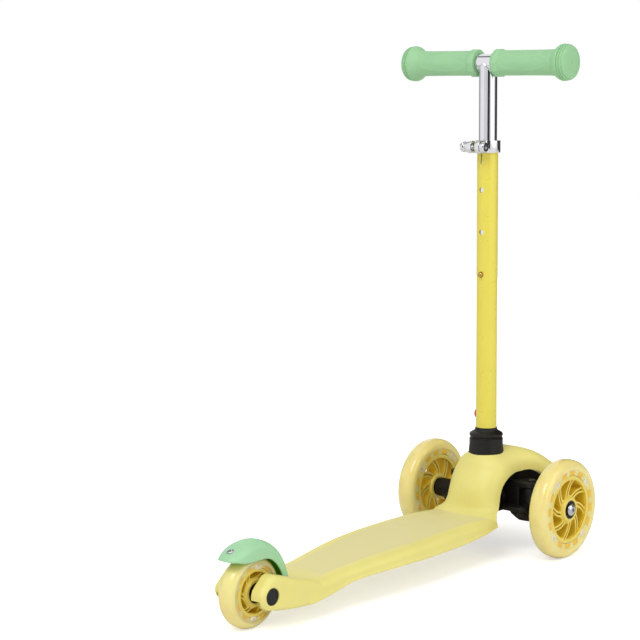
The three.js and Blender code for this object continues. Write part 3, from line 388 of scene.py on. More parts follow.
# Materials
def linear(colour):
    shares = [value / 255 for value in colour]
    return [s / 12.92 if s <= 0.04045 else ((s + 0.055) / 1.055) ** 2.4 for s in shares]


class Nodes:
    """Short calls for building the node tree of a material or a world."""

    def __init__(self, owner):
        owner.use_nodes = True
        self.owner, self.tree = owner, owner.node_tree
        self.places = self.add("ShaderNodeTexCoord").outputs
        self.object = self.places["Object"]
        self.shader = self.tree.nodes.get("Principled BSDF")

    def add(self, kind, **settings):
        node = self.tree.nodes.new(kind)
        for key, value in settings.items():
            setattr(node, key, value)
        return node

    def feed(self, socket, value):
        if isinstance(value, bpy.types.NodeSocket):
            self.tree.links.new(value, socket)
        else:
            socket.default_value = value

    def shade(self, name, value):
        self.feed(self.shader.inputs[name], value)

    def tint(self, share, colour):
        """Lays a colour over the one that the shader has."""
        plain = self.shader.inputs["Base Color"].links[0].from_socket
        self.shade("Base Color", self.blend(share, plain, linear(colour)))

    def math(self, operation, first, second=0.0):
        node = self.add("ShaderNodeMath", operation=operation)
        self.feed(node.inputs[0], first)
        self.feed(node.inputs[1], second)
        return node.outputs[0]

    def noise(self, size, detail=3.0, roughness=0.5, vector=None):
        """Noise whose patches are about size metres across."""
        node = self.add("ShaderNodeTexNoise")
        node.inputs["Scale"].default_value = 1 / size
        node.inputs["Detail"].default_value = detail
        node.inputs["Roughness"].default_value = roughness
        self.feed(node.inputs["Vector"], vector or self.object)
        return node.outputs["Fac"]

    def ranged(self, value, low, high, start=0.3, end=0.7):
        node = self.add("ShaderNodeMapRange", clamp=True)
        self.feed(node.inputs["Value"], value)
        for key, number in (("From Min", start), ("From Max", end), ("To Min", low), ("To Max", high)):
            node.inputs[key].default_value = number
        return node.outputs["Result"]

    def blend(self, share, first, second):
        node = self.add("ShaderNodeMix", data_type="RGBA")
        self.feed(node.inputs["Factor"], share)
        for socket, colour in ((node.inputs["A"], first), (node.inputs["B"], second)):
            self.feed(socket, colour if isinstance(colour, bpy.types.NodeSocket) else [*colour, 1])
        return node.outputs["Result"]

    def bump(self, height, strength, distance, normal=None):
        node = self.add("ShaderNodeBump")
        node.inputs["Strength"].default_value = strength
        node.inputs["Distance"].default_value = distance
        self.feed(node.inputs["Height"], height)
        if normal is not None:
            self.feed(node.inputs["Normal"], normal)
        return node.outputs["Normal"]

    def xyz(self, vector):
        node = self.add("ShaderNodeSeparateXYZ")
        self.feed(node.inputs[0], vector)
        return node.outputs


def surface(name, colour, roughness, mottle=0.04, mottle_size=0.03, grain=0.12, grain_size=0.0009,
            scuff=0.08, wear=0.25, metallic=0.0, coat=0.0, specular=0.5):
    """Moulded or painted surface: cloudy colour, fine grain, uneven gloss and paler edges."""
    nodes = Nodes(bpy.data.materials.new(name))
    base = linear(colour)
    cloud = nodes.noise(mottle_size, 4)
    tint = nodes.blend(nodes.ranged(cloud, 0, 1), [v * (1 - mottle) for v in base],
                       [min(v * (1 + mottle), 1) for v in base])
    edge = nodes.add("ShaderNodeNewGeometry").outputs["Pointiness"]
    chafe = nodes.math("MULTIPLY", nodes.ranged(edge, 0, wear, 0.52, 0.62),
                       nodes.ranged(nodes.noise(0.006, 5), 0, 1, 0.35, 0.65))
    worn = nodes.blend(chafe, tint, [min(v * 1.12 + 0.02, 1) for v in base])
    nodes.shade("Base Color", worn)
    nodes.shade("Roughness", nodes.ranged(nodes.noise(0.012, 6, 0.65), max(roughness - scuff, 0.02),
                                          min(roughness + scuff, 1)))
    for key, value in (("Metallic", metallic), ("Coat Weight", coat), ("Specular IOR Level", specular)):
        nodes.shade(key, value)
    fine = nodes.bump(nodes.noise(grain_size, 2), grain, grain_size)
    nodes.shade("Normal", nodes.bump(nodes.noise(grain_size * 12, 2), grain / 2, grain_size, fine))
    return nodes


def finished(*args, **settings):
    return surface(*args, **settings).owner


BOARD_YELLOW = (239, 228, 134)
TREAD_BEIGE = (232, 223, 157)
# The beige in metres: its half width at the waist and at the middle, and where the neck's foot ends it
TREAD_HALVES = (0.0265, 0.0395)
WAIST_REAR, WAIST_FRONT = -0.34, -0.22
NECK_FOOT = (0.0555, 0.0585)
LEVEL_SHARES = (0.94, 0.998)
black_plastic = finished("black_plastic", (21, 20, 19), 0.46, mottle=0.12, grain=0.2, scuff=0.1,
                         specular=0.3)
tube_paint = finished("tube_paint", (236, 221, 86), 0.3, mottle=0.012, grain=0.05, grain_size=0.0006,
                      scuff=0.05, wear=0.0, coat=0.12)
mint_rubber = finished("mint_rubber", (158, 209, 157), 0.58, mottle=0.03, grain=0.22,
                       grain_size=0.0007)
mint_plastic = finished("mint_plastic", (168, 219, 170), 0.46, mottle=0.03, grain=0.1)
# Painted shade for the flap's inside, a deep green tinted as if by bounce light from the yellow tyre
flap_inner = finished("flap_inner", (88, 190, 44), 0.4, mottle=0.1)
chrome = finished("chrome", (226, 226, 230), 0.06, mottle=0.02, grain=0.0, scuff=0.03, wear=0.0,
                  metallic=1.0)
steel = finished("steel", (196, 198, 203), 0.24, mottle=0.05, grain=0.08, grain_size=0.0005, scuff=0.1,
                 wear=0.1, metallic=1.0)
# Dark steel: the kingpins' own finish, and painted shade on the bearings' races, which sit deep in the hubs
dark_steel = finished("dark_steel", (52, 52, 52), 0.4, mottle=0.1, grain=0.1, metallic=0.6)
brass = finished("brass", (196, 156, 84), 0.25, mottle=0.08, grain=0.06, metallic=1.0)
red_plastic = finished("red_plastic", (206, 52, 40), 0.36, mottle=0.04)
bush_rubber = finished("bush_rubber", (52, 52, 52), 0.75, grain=0.3)
hub_pale = finished("hub_pale", (241, 218, 98), 0.38, mottle=0.03, mottle_size=0.012)
# Painted shade for the hub's windows and grooves, a deeper gold than the hub's own pale colour
hub_gold = finished("hub_gold", (234, 200, 48), 0.5, mottle=0.1, mottle_size=0.01, specular=0.25)
dash_orange = finished("dash_orange", (250, 197, 48), 0.35, mottle=0.08, mottle_size=0.005)
led_case = finished("led_case", (242, 230, 196), 0.25, mottle=0.03, mottle_size=0.003, coat=0.3)
led_chip = finished("led_chip", (222, 210, 188), 0.3, mottle=0.2, mottle_size=0.002)


def deck_plastic(name, grain, roughness):
    """The board's yellow, with the beige of the grained tread on its level top."""
    nodes = surface(name, BOARD_YELLOW, roughness, mottle=0.03, mottle_size=0.05, grain=grain)
    up = nodes.xyz(nodes.places["Normal"])[2]
    along, across, height = nodes.xyz(nodes.object)
    rear = AXLE_X + (FORK_ROOT_X + BARREL_RADIUS) / 1000
    border = nodes.ranged(along, *TREAD_HALVES, AXLE_X + WAIST_REAR, AXLE_X + WAIST_FRONT)
    beyond = nodes.math("SUBTRACT", nodes.math("ABSOLUTE", across), border)
    level = nodes.ranged(up, 0, 1, *LEVEL_SHARES)
    for limit in (nodes.ranged(along, 0, 1, rear, rear + 0.02), nodes.ranged(height, 1, 0, *NECK_FOOT),
                  nodes.ranged(beyond, 1, 0, -0.0005, 0.001)):
        level = nodes.math("MULTIPLY", level, limit)
    nodes.tint(level, TREAD_BEIGE)
    return nodes


def tread_grip():
    nodes = deck_plastic("tread_grip", 0.1, 0.6)
    cells = nodes.add("ShaderNodeTexVoronoi", feature="SMOOTH_F1")
    cells.inputs["Scale"].default_value = 1 / 0.0016
    nodes.feed(cells.inputs["Vector"], nodes.object)
    nodes.shade("Normal", nodes.bump(cells.outputs["Distance"], 0.3, 0.0005))
    return nodes.owner


def tyre_urethane(name):
    """Cast urethane, cloudy and soft to light."""
    nodes = surface(name, (248, 232, 152), 0.17, mottle=0.03, mottle_size=0.02, grain=0.04, coat=0.25)
    nodes.tint(nodes.ranged(nodes.noise(0.03, 2), 0, 0.32, 0.42, 0.62), (240, 208, 108))
    for key, value in (("Weight", 0.45), ("Radius", (1, 0.72, 0.3)), ("Scale", 0.008)):
        nodes.shade("Subsurface " + key, value)
    return nodes.owner


board_plastic = deck_plastic("board_plastic", 0.1, 0.46).owner
tread_material = tread_grip()
urethane = tyre_urethane("urethane")


# Deck board
DECK_LENGTH = DECK_FRONT - REAR_X
BOARD_REACH, BOARD_RINGS = 25, 86
FOOT_ROUND = 0.8
RIB_REACH = DECK_HALF + 9
TREAD_NOSE = 0.12
WIDTH_SHARES = [(0, 0.64), (0.06, 0.7), (0.13, 0.755), (0.23, 0.762), (0.3, 0.785), (0.4, 0.885),
                (0.49, 0.965), (0.62, 1.025), (0.72, 1.005), (0.82, 0.985), (0.92, 0.975), (1, 0.91)]
TOP_SHARES = [(0, 0.8), (0.13, 0.796), (0.23, 0.8), (0.33, 0.865), (0.49, 0.943), (0.64, 0.978),
              (0.82, 0.998), (1, 0.95)]
UNDER_SHARES = [(0, 0.6), (0.13, 0.57), (0.18, 0.61), (0.23, 0.69), (0.33, 0.9), (0.49, 0.974),
                (0.64, 0.989), (0.82, 1), (1, 1.17)]
width_curve = curve_through(WIDTH_SHARES)
top_curve = curve_through(TOP_SHARES)
under_curve = curve_through(UNDER_SHARES)
# Section of the board's edge: [in from the side, down from the top]
EDGE = [(0, 11), (0, 8.5), (0.25, 6.6), (0.9, 5), (2.2, 3.5), (4.4, 2.1), (7.5, 0.95), (11, 0.25), (15, 0)]


def station_of(x):
    return (x - REAR_X) / DECK_LENGTH


def half_at(x):
    return DECK_HALF * width_curve(station_of(x))


def top_at(x):
    return DECK_TOP * top_curve(station_of(x))


def under_at(x):
    return DECK_UNDER * under_curve(station_of(x))


def mirrored(x, side):
    return [(x, y, z) for y, z in side] + [(x, -y, z) for y, z in reversed(side)]


def board_ring(x):
    """Side from the skirt's foot up to the rolled top edge."""
    half, top, under = half_at(x), top_at(x), under_at(x)
    foot = under + FOOT_ROUND
    side = [(half + DECK_DRAFT - FOOT_ROUND, under), (half + DECK_DRAFT, foot)]
    side += [(half + DECK_DRAFT * (1 - share) ** 2, foot + share * (top - EDGE[0][1] - foot))
             for share in (0.25, 0.5, 0.75)]
    side += [(half - inward, top - down) for inward, down in EDGE]
    return mirrored(x, side)


def hollow_ring(x, wall, floor):
    half, top, under = half_at(x) - wall, top_at(x) - floor, under_at(x) - OVERRUN
    return mirrored(x, [(half + DECK_DRAFT, under), (half, top)])


def board():
    rear, front = FORK_ROOT_X - FORK_ROOT / 4, DECK_FRONT + BOARD_REACH
    return loft([board_ring(x) for x in np.linspace(rear, front, BOARD_RINGS)])


def underside():
    rear, front = FORK_ROOT_X + BARREL_RADIUS, DECK_FRONT - NECK_DEPTH / 2
    hollow = loft([hollow_ring(x, DECK_WALL, DECK_FLOOR) for x in np.linspace(rear, front, 40)])
    pitch = (front - rear) / (RIBS + 1)
    ribs = [block((rear + (k + 1) * pitch - RIB / 2, -RIB_REACH, 0),
                  (rear + (k + 1) * pitch + RIB / 2, RIB_REACH, DECK_TOP)) for k in range(RIBS)]
    spine = block((rear - OVERRUN, -RIB / 2, 0), (front + OVERRUN, RIB / 2, DECK_TOP))
    return cut(hollow, spine, *ribs)


def tread_half(share, x):
    closing = math.sqrt(1 - (1 - share / TREAD_NOSE) ** 2) if share < TREAD_NOSE else 1
    return max((half_at(x) - TREAD_MARGIN) * closing, TREAD_MARGIN * 0.8)


def tread_slab(depth_low, depth_high, shrink):
    rear = FORK_ROOT_X + BARREL_RADIUS * 2 + shrink
    front = DECK_FRONT - NECK_DEPTH - shrink
    rings = []
    for share in [*np.linspace(0, TREAD_NOSE, 16), *np.linspace(0.14, 1, 60)]:
        x = rear + share * (front - rear)
        half = tread_half(share, x) - shrink
        rings.append(mirrored(x, [(half, top_at(x) - depth_low), (half, top_at(x) - depth_high)]))
    return loft(rings)


# Neck and hood
# The neck's sections: [height, half width, depth, squareness], shares but for the last
NECK_SHARES = [(0.33, 1.33, 1.45, 6), (0.405, 1.32, 1.45, 6), (0.435, 1.22, 1.33, 4.5),
               (0.468, 1.13, 1.2, 4), (0.532, 1.067, 1.175, 3.4), (0.62, 1.035, 1.155, 3),
               (0.694, 1.02, 1.09, 2.8), (0.77, 1, 0.97, 2.6), (0.83, 0.955, 0.84, 2.4),
               (0.9, 0.86, 0.73, 2.3), (0.95, 0.665, 0.63, 2.2), (0.98, 0.52, 0.55, 2.1)]


def neck():
    rings = []
    for height, half, depth, square in smooth_rows(NECK_SHARES, 60):
        rings.append([(STEM_X + depth * NECK_DEPTH * power(math.cos(turn), 2 / square),
                       half * NECK_HALF * power(math.sin(turn), 2 / square), height * HOOD_HEIGHT)
                      for turn in around(FINE)])
    return loft(rings)


HOOD_LENGTH = HOOD_REACH - STEM_X
# The hood ends in a quarter turn from this share of its length; its width closes by this exponent
HOOD_BEND, NOSE_CLOSING = 0.82, 0.87
hood_top = curve_through([(0, 0.984), (0.25, 1.01), (0.45, 0.98), (0.65, 0.918), (0.82, 0.816)])
hood_width = curve_through([(0, 0.571), (0.25, 0.627), (0.45, 0.802), (0.65, 0.906), (0.82, 1)])
hood_rim = curve_through([(0, 1), (0.25, 1.005), (0.35, 1), (0.45, 0.955), (0.55, 0.855), (0.65, 0.72),
                          (0.75, 0.665), (1, 0.663)])
cavity_top = curve_through([(0, 0.79), (0.25, 0.79), (0.45, 0.85), (0.65, 0.865), (0.82, 0.79)])
squareness = curve_through([(0, 2.6), (0.25, 2.9), (0.45, 3.4), (1, 3.2)])


def rim_at(share):
    return max(ARCH_HEIGHT * hood_rim(share), NOSE_RIM)


def hood_form(top_curve_at, inset, foot_at, rear_share, skirt=0):
    stations = [(share * HOOD_BEND, 0) for share in np.linspace(0, 1, 26)]
    stations += [(HOOD_BEND + (1 - HOOD_BEND) * math.sin(bend), bend)
                 for bend in [*np.linspace(0.12, 1.3, 12), 1.4, 1.46, 1.5]]
    if rear_share:
        stations.insert(0, (-rear_share, 0))
    rings = []
    for share, bend in stations:
        reached = max(share, 0)
        if share < 0:
            x = STEM_X - rear_share * HOOD_LENGTH + inset
        else:
            x = STEM_X + share * (HOOD_LENGTH - inset)
        base = foot_at(reached)
        full = HOOD_HEIGHT * top_curve_at(min(reached, HOOD_BEND))
        top = base + (full - base) * (1 - math.sin(bend) ** 3) ** (1 / 3)
        half = (HOOD_HALF * hood_width(min(reached, HOOD_BEND)) - inset) * math.cos(bend) ** NOSE_CLOSING
        exponent = 2 / squareness(reached)
        ring = [(x, half * power(math.cos(turn), exponent),
                 base + (top - base) * power(max(math.sin(turn), 0), exponent))
                for turn in np.linspace(0, math.pi, 49)]
        rings.append([(x, half, base - skirt), *ring, (x, -half, base - skirt)] if skirt else ring)
    return loft(rings)


ARCH_SHARES = [(-3.17, 0.3), (-3.15, 0.44), (-3.07, 0.51), (-2.78, 0.551), (-2.44, 0.592), (-2.2, 0.673),
               (-2.1, 0.735), (-2, 0.786), (-1.88, 0.837), (-1.73, 0.878), (-1.44, 0.929), (-1.05, 0.969),
               (-0.5, 0.995), (0.1, 1)]


def arch():
    """Everything below the arch and the hood's rim."""
    outline = [(along * -STEM_X, up * ARCH_HEIGHT) for along, up in smooth_rows(ARCH_SHARES, 70)]
    rim = [(STEM_X + share * HOOD_LENGTH, rim_at(share)) for share in np.linspace(0.24, 1, 60)]
    far = 2 * HOOD_REACH
    low = -5 * OVERRUN
    return prism([*outline, *rim, (far, NOSE_RIM), (far, low), (outline[0][0], low)], "y", -far, far)


ARM_ROUND, ARM_INNER_ROUND = 6.5, 1.2


def arm_ring(x, side, low, high):
    inner, outer = FORK_INNER, half_at(max(x, REAR_X))
    big, small = min(ARM_ROUND, (high - low) / 3), ARM_INNER_ROUND
    corners = [((inner, low), small), ((outer, low), big * 0.7), ((outer, high), big),
               ((inner, high), small)]
    ring = []
    for k, ((y, z), round_) in enumerate(corners):
        across, up = (1 if k in (1, 2) else -1), (1 if k in (2, 3) else -1)
        start = {0: math.pi, 1: -math.pi / 2, 2: 0, 3: math.pi / 2}[k]
        for turn in np.linspace(start, start + math.pi / 2, 6):
            ring.append((x, side * (y - across * round_ + round_ * math.cos(turn)),
                         z - up * round_ + round_ * math.sin(turn)))
    return ring


# The fork's arms from end to root: [along, top, underside]
FORK_SHARES = [(-1, 1.04, 0.93), (-0.9, 1.16, 0.8), (-0.65, 1.28, 0.7), (-0.25, 1.42, 0.63),
               (0.05, 1.53, 0.59), (0.15, 1.51, 0.56), (0.37, 1.39, 0.515), (0.57, 1.275, 0.495),
               (0.79, 1.185, 0.495), (1, 1.08, 0.54)]


def fork_arm(side):
    rings = []
    for along, high, low in smooth_rows(FORK_SHARES, 70):
        x = REAR_X + along * (FORK_REACH if along < 0 else FORK_ROOT)
        rings.append(arm_ring(x, side, low * REAR_RADIUS, high * REAR_RADIUS))
    return loft(rings)


REAR_CENTRE = (REAR_X, 0, REAR_RADIUS)
CAP_INNER = FORK_INNER + BEARING_RADIUS - 1.75
NUT_SEAT = CAP_INNER - 4
POCKET_TOP, POCKET_WALL = 37, 3
# Joins of the moulding that are smoothed, in mm: [height, reach up and down, reach along]
NECK_FOOT_BLEND = (DECK_TOP, 12, 36)
NECK_TOP_BLEND = (112, 26, 40)
# Over the nose: the share of the hood's length times the slope, less the start, up to the most
NOSE_SLOPE, NOSE_START, NOSE_MOST = 5, 3, 0.8
FOOT_FADE, FOOT_LEAST = 16, 0.2
BLEND_PASSES = 50
DECK_CUBE, DECK_CUBE_QUICK = 1.05, 2.0


def falloff(values, centre, reach):
    return np.clip(1 - np.abs(values - centre) / reach, 0, 1)


def joins(places):
    """Share of smoothing per vertex: round the neck's foot and top, and over the hood's nose."""
    x, y, z = places.T
    height, reach, behind = NECK_FOOT_BLEND
    foot = falloff(z, height, reach) * (x > DECK_FRONT - behind)
    foot *= np.clip((DECK_FRONT - x) / FOOT_FADE, FOOT_LEAST, 1)
    nose = np.clip((x - STEM_X) / HOOD_LENGTH * NOSE_SLOPE - NOSE_START, 0, NOSE_MOST) * (z > NOSE_RIM + 3)
    height, reach, along = NECK_TOP_BLEND
    return np.maximum(foot, np.maximum(nose, falloff(z, height, reach) * falloff(x, STEM_X, along)))


def deck_form():
    form = joined(board(), neck(), fork_arm(1), fork_arm(-1), hood_form(hood_top, 0, rim_at, 0, 7))
    form = smoothed(form, DECK_CUBE, 3)
    form = relaxed(form, BLEND_PASSES, joins(places_of(form)))
    rear = REAR_X - FORK_REACH - OVERRUN
    slot = block((rear, -FORK_INNER, 0), (PIN_X + BARREL_RADIUS + RUN_GAP, FORK_INNER, DECK_TOP * 2))
    wall = half_at(REAR_X) - POCKET_WALL
    pockets = [block((rear, low, 0), (REAR_X - POCKET_WALL, high, POCKET_TOP))
               for low, high in ((FORK_INNER - OVERRUN, wall), (-wall, OVERRUN - FORK_INNER))]
    pin_end = FORK_INNER + PIN_REACH
    bores = [rod(radius, "y", start, end, centre) for radius, start, end, centre in (
        (PIN_RADIUS + GAP, -pin_end, pin_end, (PIN_X, 0, PIN_HEIGHT)),
        (AXLE_RADIUS + GAP, -DECK_HALF, DECK_HALF, REAR_CENTRE),
        (CAP_SEAT, NUT_SEAT - GAP, DECK_HALF, REAR_CENTRE),
        (CAP_SEAT, -DECK_HALF, GAP - NUT_SEAT, REAR_CENTRE))]
    socket = rod(SOCKET_RADIUS + 1, "z", ARCH_HEIGHT - OVERRUN, HOOD_HEIGHT + 3 * OVERRUN, (STEM_X, 0, 0))
    cavity = hood_form(cavity_top, HOOD_WALL, lambda _: NOSE_RIM - OVERRUN, 0.13)
    return cut(form, arch(), cavity, socket, slot, *pockets, *bores, underside(),
               tread_slab(TREAD_DEPTH, -OVERRUN, 0))


piece("deck_moulding", deck_form(), "chassis", board_plastic, ["deck"])
piece("deck_tread", bevelled(tread_slab(TREAD_DEPTH + 0.3, 0.04, 0.02), 0.05, 1, 50), "chassis",
      tread_material)


# Dark mouldings keep their solids' shapes, with their edges eased: [node, name, body, cube, passes]
SOFTENED = [("steering_housing", "steering_housing_soft", "chassis", 0.8, 3),
            ("truck_beam", "truck_beam_soft", "truck", 0.8, 8),
            ("tie_rod", "steering_rod_soft", "steering_rod", 0.6, 5),
            ("knuckle_left", "knuckle_soft_left", "left_knuckle", 0.6, 5),
            ("knuckle_right", "knuckle_soft_right", "right_knuckle", 0.6, 5)]
for node, name, body, voxel, passes in SOFTENED:
    solid = moved(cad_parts[node].data, TO_ROW.inverted())
    piece(name, smoothed(solid, voxel, passes), body, black_plastic, [node])


# Stem
SLIT_LENGTH, SLIT_HALF, SLIT_END = 26, 1, 1.7
RIM_EASE = 0.3


def stem_lathe(profile, segments=FINE):
    """Turned about the stem's own axis."""
    return lathe(profile, "z", (STEM_X, 0, 0), segments)


def tube_form():
    bore, back = INNER_TUBE + GAP, STEM_X - OUTER_TUBE
    rows = np.arange(TUBE_FOOT + 2, STEM_TOP - 1, 3.0)
    outside = [(OUTER_TUBE - 0.5, TUBE_FOOT), (OUTER_TUBE, TUBE_FOOT + 0.5),
               *[(OUTER_TUBE, z) for z in rows], (OUTER_TUBE, STEM_TOP - 0.4), (OUTER_TUBE - 0.4, STEM_TOP)]
    inside = [(bore, STEM_TOP), *[(bore, z) for z in rows[::-1]], (bore, TUBE_FOOT)]
    holes = [drill(HOLE_RADIUS, "x", STEM_X, back - OVERRUN, (0, 0, TOP_HOLE - step * HEIGHT_STEP),
                   RIM_EASE, back) for step in range(3)]
    slit_foot = STEM_TOP - SLIT_LENGTH
    slit_end = rod(SLIT_END, "x", back - OVERRUN, STEM_X, (0, 0, slit_foot), 32)
    slit = block((back - OVERRUN, -SLIT_HALF, slit_foot), (STEM_X, SLIT_HALF, STEM_TOP + OVERRUN))
    button = drill(RELEASE_RADIUS + GAP, "y", 0, OUTER_TUBE + OVERRUN, (STEM_X, 0, RELEASE_HEIGHT),
                   RIM_EASE, OUTER_TUBE)
    return cut(stem_lathe([*outside, *inside, outside[0]]), *holes, slit_end, slit, button)


piece("stem_tube", tube_form(), "chassis", tube_paint, ["outer_tube"])

CAP_FLARE_SHARES = [(0.96, 0), (0.93, 0.06), (0.955, 0.12), (0.99, 0.2), (1, 0.3), (0.98, 0.42),
                    (0.86, 0.55), (0.72, 0.68), (0.66, 0.84), (0.645, 1)]
SOCKET_SPREAD = 0.7
cap_bore, socket_top = OUTER_TUBE + GAP, CAP_FOOT - GAP
cap_outside = [(radius * SOCKET_RADIUS, CAP_FOOT + up * CAP_HEIGHT)
               for radius, up in smooth_rows(CAP_FLARE_SHARES, 40)]
cap_profile = [(cap_bore, CAP_FOOT), *cap_outside, (cap_bore, CAP_FOOT + CAP_HEIGHT), (cap_bore, CAP_FOOT)]
socket_wide = SOCKET_RADIUS + SOCKET_SPREAD
socket_foot = ARCH_HEIGHT + GAP
socket_profile = [(cap_bore, socket_foot), (socket_wide, socket_foot), (socket_wide, HOOD_HEIGHT),
                  (SOCKET_RADIUS, (HOOD_HEIGHT + socket_top) / 2), (SOCKET_RADIUS, socket_top),
                  (cap_bore, socket_top), (cap_bore, socket_foot)]
for name, profile, node in (("stem_cap_turned", cap_profile, "stem_cap"),
                            ("stem_socket_turned", eased(socket_profile, 1.0), "stem_socket")):
    piece(name, stem_lathe(profile), "chassis", black_plastic, [node])


# Clamp with its ears to the rear
CLAMP_FOOT = STEM_TOP - CLAMP_HEIGHT
CLAMP_WALL = 2.3
EAR_INNER, EAR_OUTER, EAR_REACH = 3, 8.4, 31
CLAMP_BOLT = (STEM_X - 24, 0, CLAMP_FOOT + CLAMP_HEIGHT / 2)
BOLT_SHANK, BOLT_RADIUS, BOLT_LENGTH, BOLT_TIP = 2.5, 6.5, 6, 8.8
NUT_BORE, NUT_RADIUS, NUT_LENGTH = 2.8, 6.5, 11
# Outline of the barrel nut: [radius, length]
NUT_SHARES = [(1, 0), (1, 0.3), (0.8, 0.4), (0.8, 0.55), (1, 0.65), (0.9, 1)]
KNURLS, KNURL_DEPTH = 12, 0.035


def clamp_form():
    bore, round_ = OUTER_TUBE + GAP, CLAMP_HEIGHT / 3.2
    wall, tail = bore + CLAMP_WALL, STEM_X - EAR_REACH
    ring = stem_lathe([(bore, CLAMP_FOOT), (wall, CLAMP_FOOT), (wall, STEM_TOP), (bore, STEM_TOP),
                       (bore, CLAMP_FOOT)])
    turns = np.linspace(0, math.pi / 2, 8)
    outline = [(STEM_X - bore, CLAMP_FOOT)]
    outline += [(tail + round_ - round_ * math.sin(turn), CLAMP_FOOT + round_ - round_ * math.cos(turn))
                for turn in turns]
    outline += [(tail + round_ - round_ * math.cos(turn), STEM_TOP - round_ + round_ * math.sin(turn))
                for turn in turns]
    form = joined(ring, prism([*outline, (STEM_X - bore, STEM_TOP)], "y", -EAR_OUTER, EAR_OUTER))
    low, high = CLAMP_FOOT - OVERRUN, STEM_TOP + OVERRUN
    form = cut(form, rod(bore, "z", low, high, (STEM_X, 0, 0)),
               block((tail - OVERRUN, -EAR_INNER, low), (STEM_X, EAR_INNER, high)),
               rod(NUT_BORE, "y", -EAR_OUTER - OVERRUN, EAR_OUTER + OVERRUN, CLAMP_BOLT, 32))
    return bevelled(form, 0.45, 2, 40)


def hex_well(radius, axis, start, end, centre):
    return rod(radius, axis, start, end, centre, 6)


def clamp_bolt_form():
    seat, tip = -EAR_OUTER - GAP, EAR_OUTER + BOLT_TIP
    face = seat - BOLT_LENGTH
    profile = [(0, tip), (BOLT_SHANK, tip), (BOLT_SHANK, seat), (BOLT_RADIUS * 0.97, seat),
               (BOLT_RADIUS, seat - 0.6), (BOLT_RADIUS, face + 1.4), (BOLT_RADIUS * 0.86, face), (0, face)]
    form = lathe(eased(profile, 0.5, 3), "y", CLAMP_BOLT, 64)
    return cut(form, hex_well(3, "y", face - OVERRUN, face + 3.2, CLAMP_BOLT))


def clamp_nut_form():
    foot = EAR_OUTER + GAP
    tip = foot + NUT_LENGTH
    outside = [(radius * NUT_RADIUS, foot + up * NUT_LENGTH) for radius, up in NUT_SHARES]
    profile = [(NUT_BORE, foot), *outside, (NUT_BORE, tip), (NUT_BORE, foot)]
    form = lathe(eased(profile, 0.5, 3), "y", CLAMP_BOLT, 72)
    offset = places_of(form) - CLAMP_BOLT
    turn, radius = np.arctan2(offset[:, 2], offset[:, 0]), np.hypot(offset[:, 0], offset[:, 2])
    knurled = (radius > 4) * (offset[:, 1] > foot + NUT_LENGTH * 0.6) * (np.cos(KNURLS * turn) > 0.2)
    offset[:, [0, 2]] *= (1 - KNURL_DEPTH * knurled)[:, None]
    return with_places(form, offset + CLAMP_BOLT)


for name, form, node in (("clamp_band", clamp_form(), "clamp_collar"),
                         ("clamp_screw", clamp_bolt_form(), "clamp_bolt"),
                         ("clamp_barrel_nut", clamp_nut_form(), "clamp_nut")):
    piece(name, form, "chassis", chrome, [node])


# Handlebar
BAR_END = BAR_HALF - 10.75
BEAD = 1.1
GRIP_INNER, GRIP_RADIUS, COLLAR_RADIUS, BULB_RADIUS = 12.5, 15.2, 17.2, 21.5
# Grip from the collar outwards: [radius, length] of the sleeve, of the ringed bulb and of the collar
SLEEVE_SHARES = [(0.99, 0), (0.985, 0.06), (0.98, 0.3), (0.985, 0.55), (1, 0.74), (1.04, 0.8)]
BULB_SHARES = [(0.8, 0.825), (0.9, 0.85), (0.965, 0.872), (0.995, 0.892), (1, 0.9), (0.985, 0.908),
               (0.93, 0.912), (0.93, 0.919), (0.985, 0.923), (0.98, 0.935), (0.925, 0.94), (0.92, 0.947),
               (0.965, 0.952), (0.955, 0.962), (0.89, 0.967), (0.88, 0.974), (0.905, 0.979), (0.86, 0.986),
               (0.77, 0.992), (0.73, 0.991), (0.69, 0.993), (0.55, 0.9975), (0.3, 1), (0.06, 1),
               (0.04, 0.993), (0, 0.992)]
COLLAR_SHARES = [(0.92, 0), (1, 0.022), (1, 0.068), (0.9, 0.092)]
COLLAR_SIDES = 10
OVAL_PLACE, OVAL_REACH, OVAL_WIDTH, OVAL_DEPTH = 0.42, 34, 9, 0.55
OVAL_EDGE, OVAL_FADE = 1.06, 0.12


def tee_form():
    bore = INNER_TUBE - TUBE_WALL
    bar_centre = (STEM_X, 0, CROSSBAR)
    form = joined(rod(INNER_TUBE, "z", MAST_FOOT, CROSSBAR, (STEM_X, 0, 0)),
                  rod(INNER_TUBE, "y", -BAR_END, BAR_END, bar_centre))
    return cut(form, rod(bore, "z", MAST_FOOT - OVERRUN, CROSSBAR - INNER_TUBE, (STEM_X, 0, 0)),
               rod(bore, "y", -BAR_END - OVERRUN, BAR_END + OVERRUN, bar_centre),
               rod(HOLE_RADIUS, "x", STEM_X - OUTER_TUBE, STEM_X, (0, 0, SNAP_HEIGHT), 32))


def weld_bead():
    """Bead along the seam where the two equal tubes meet."""
    seam = [Vector((STEM_X + INNER_TUBE * math.cos(turn), INNER_TUBE * math.sin(turn),
                    CROSSBAR - math.sqrt((INNER_TUBE * math.sin(turn)) ** 2 + 1.2))) for turn in around(160)]
    count, thick = len(seam), 12
    points, faces = [], []
    for k, place in enumerate(seam):
        along = (seam[(k + 1) % count] - seam[k - 1]).normalized()
        out = Vector((place.x - STEM_X, place.y, 0)).normalized()
        out = (out - along * out.dot(along)).normalized()
        side = along.cross(out)
        points += [place + BEAD * (math.cos(turn) * out * 0.7 + math.sin(turn) * side)
                   for turn in around(thick)]
        for n in range(thick):
            m, there = (n + 1) % thick, (k + 1) % count * thick
            faces.append([k * thick + n, k * thick + m, there + m, there + n])
    return mesh_of(points, faces)


def grip_at(share):
    return GRIP_INNER + share * (BAR_HALF - GRIP_INNER)


def grip_profile(shares, radius):
    return [(share * radius, grip_at(along)) for share, along in shares]


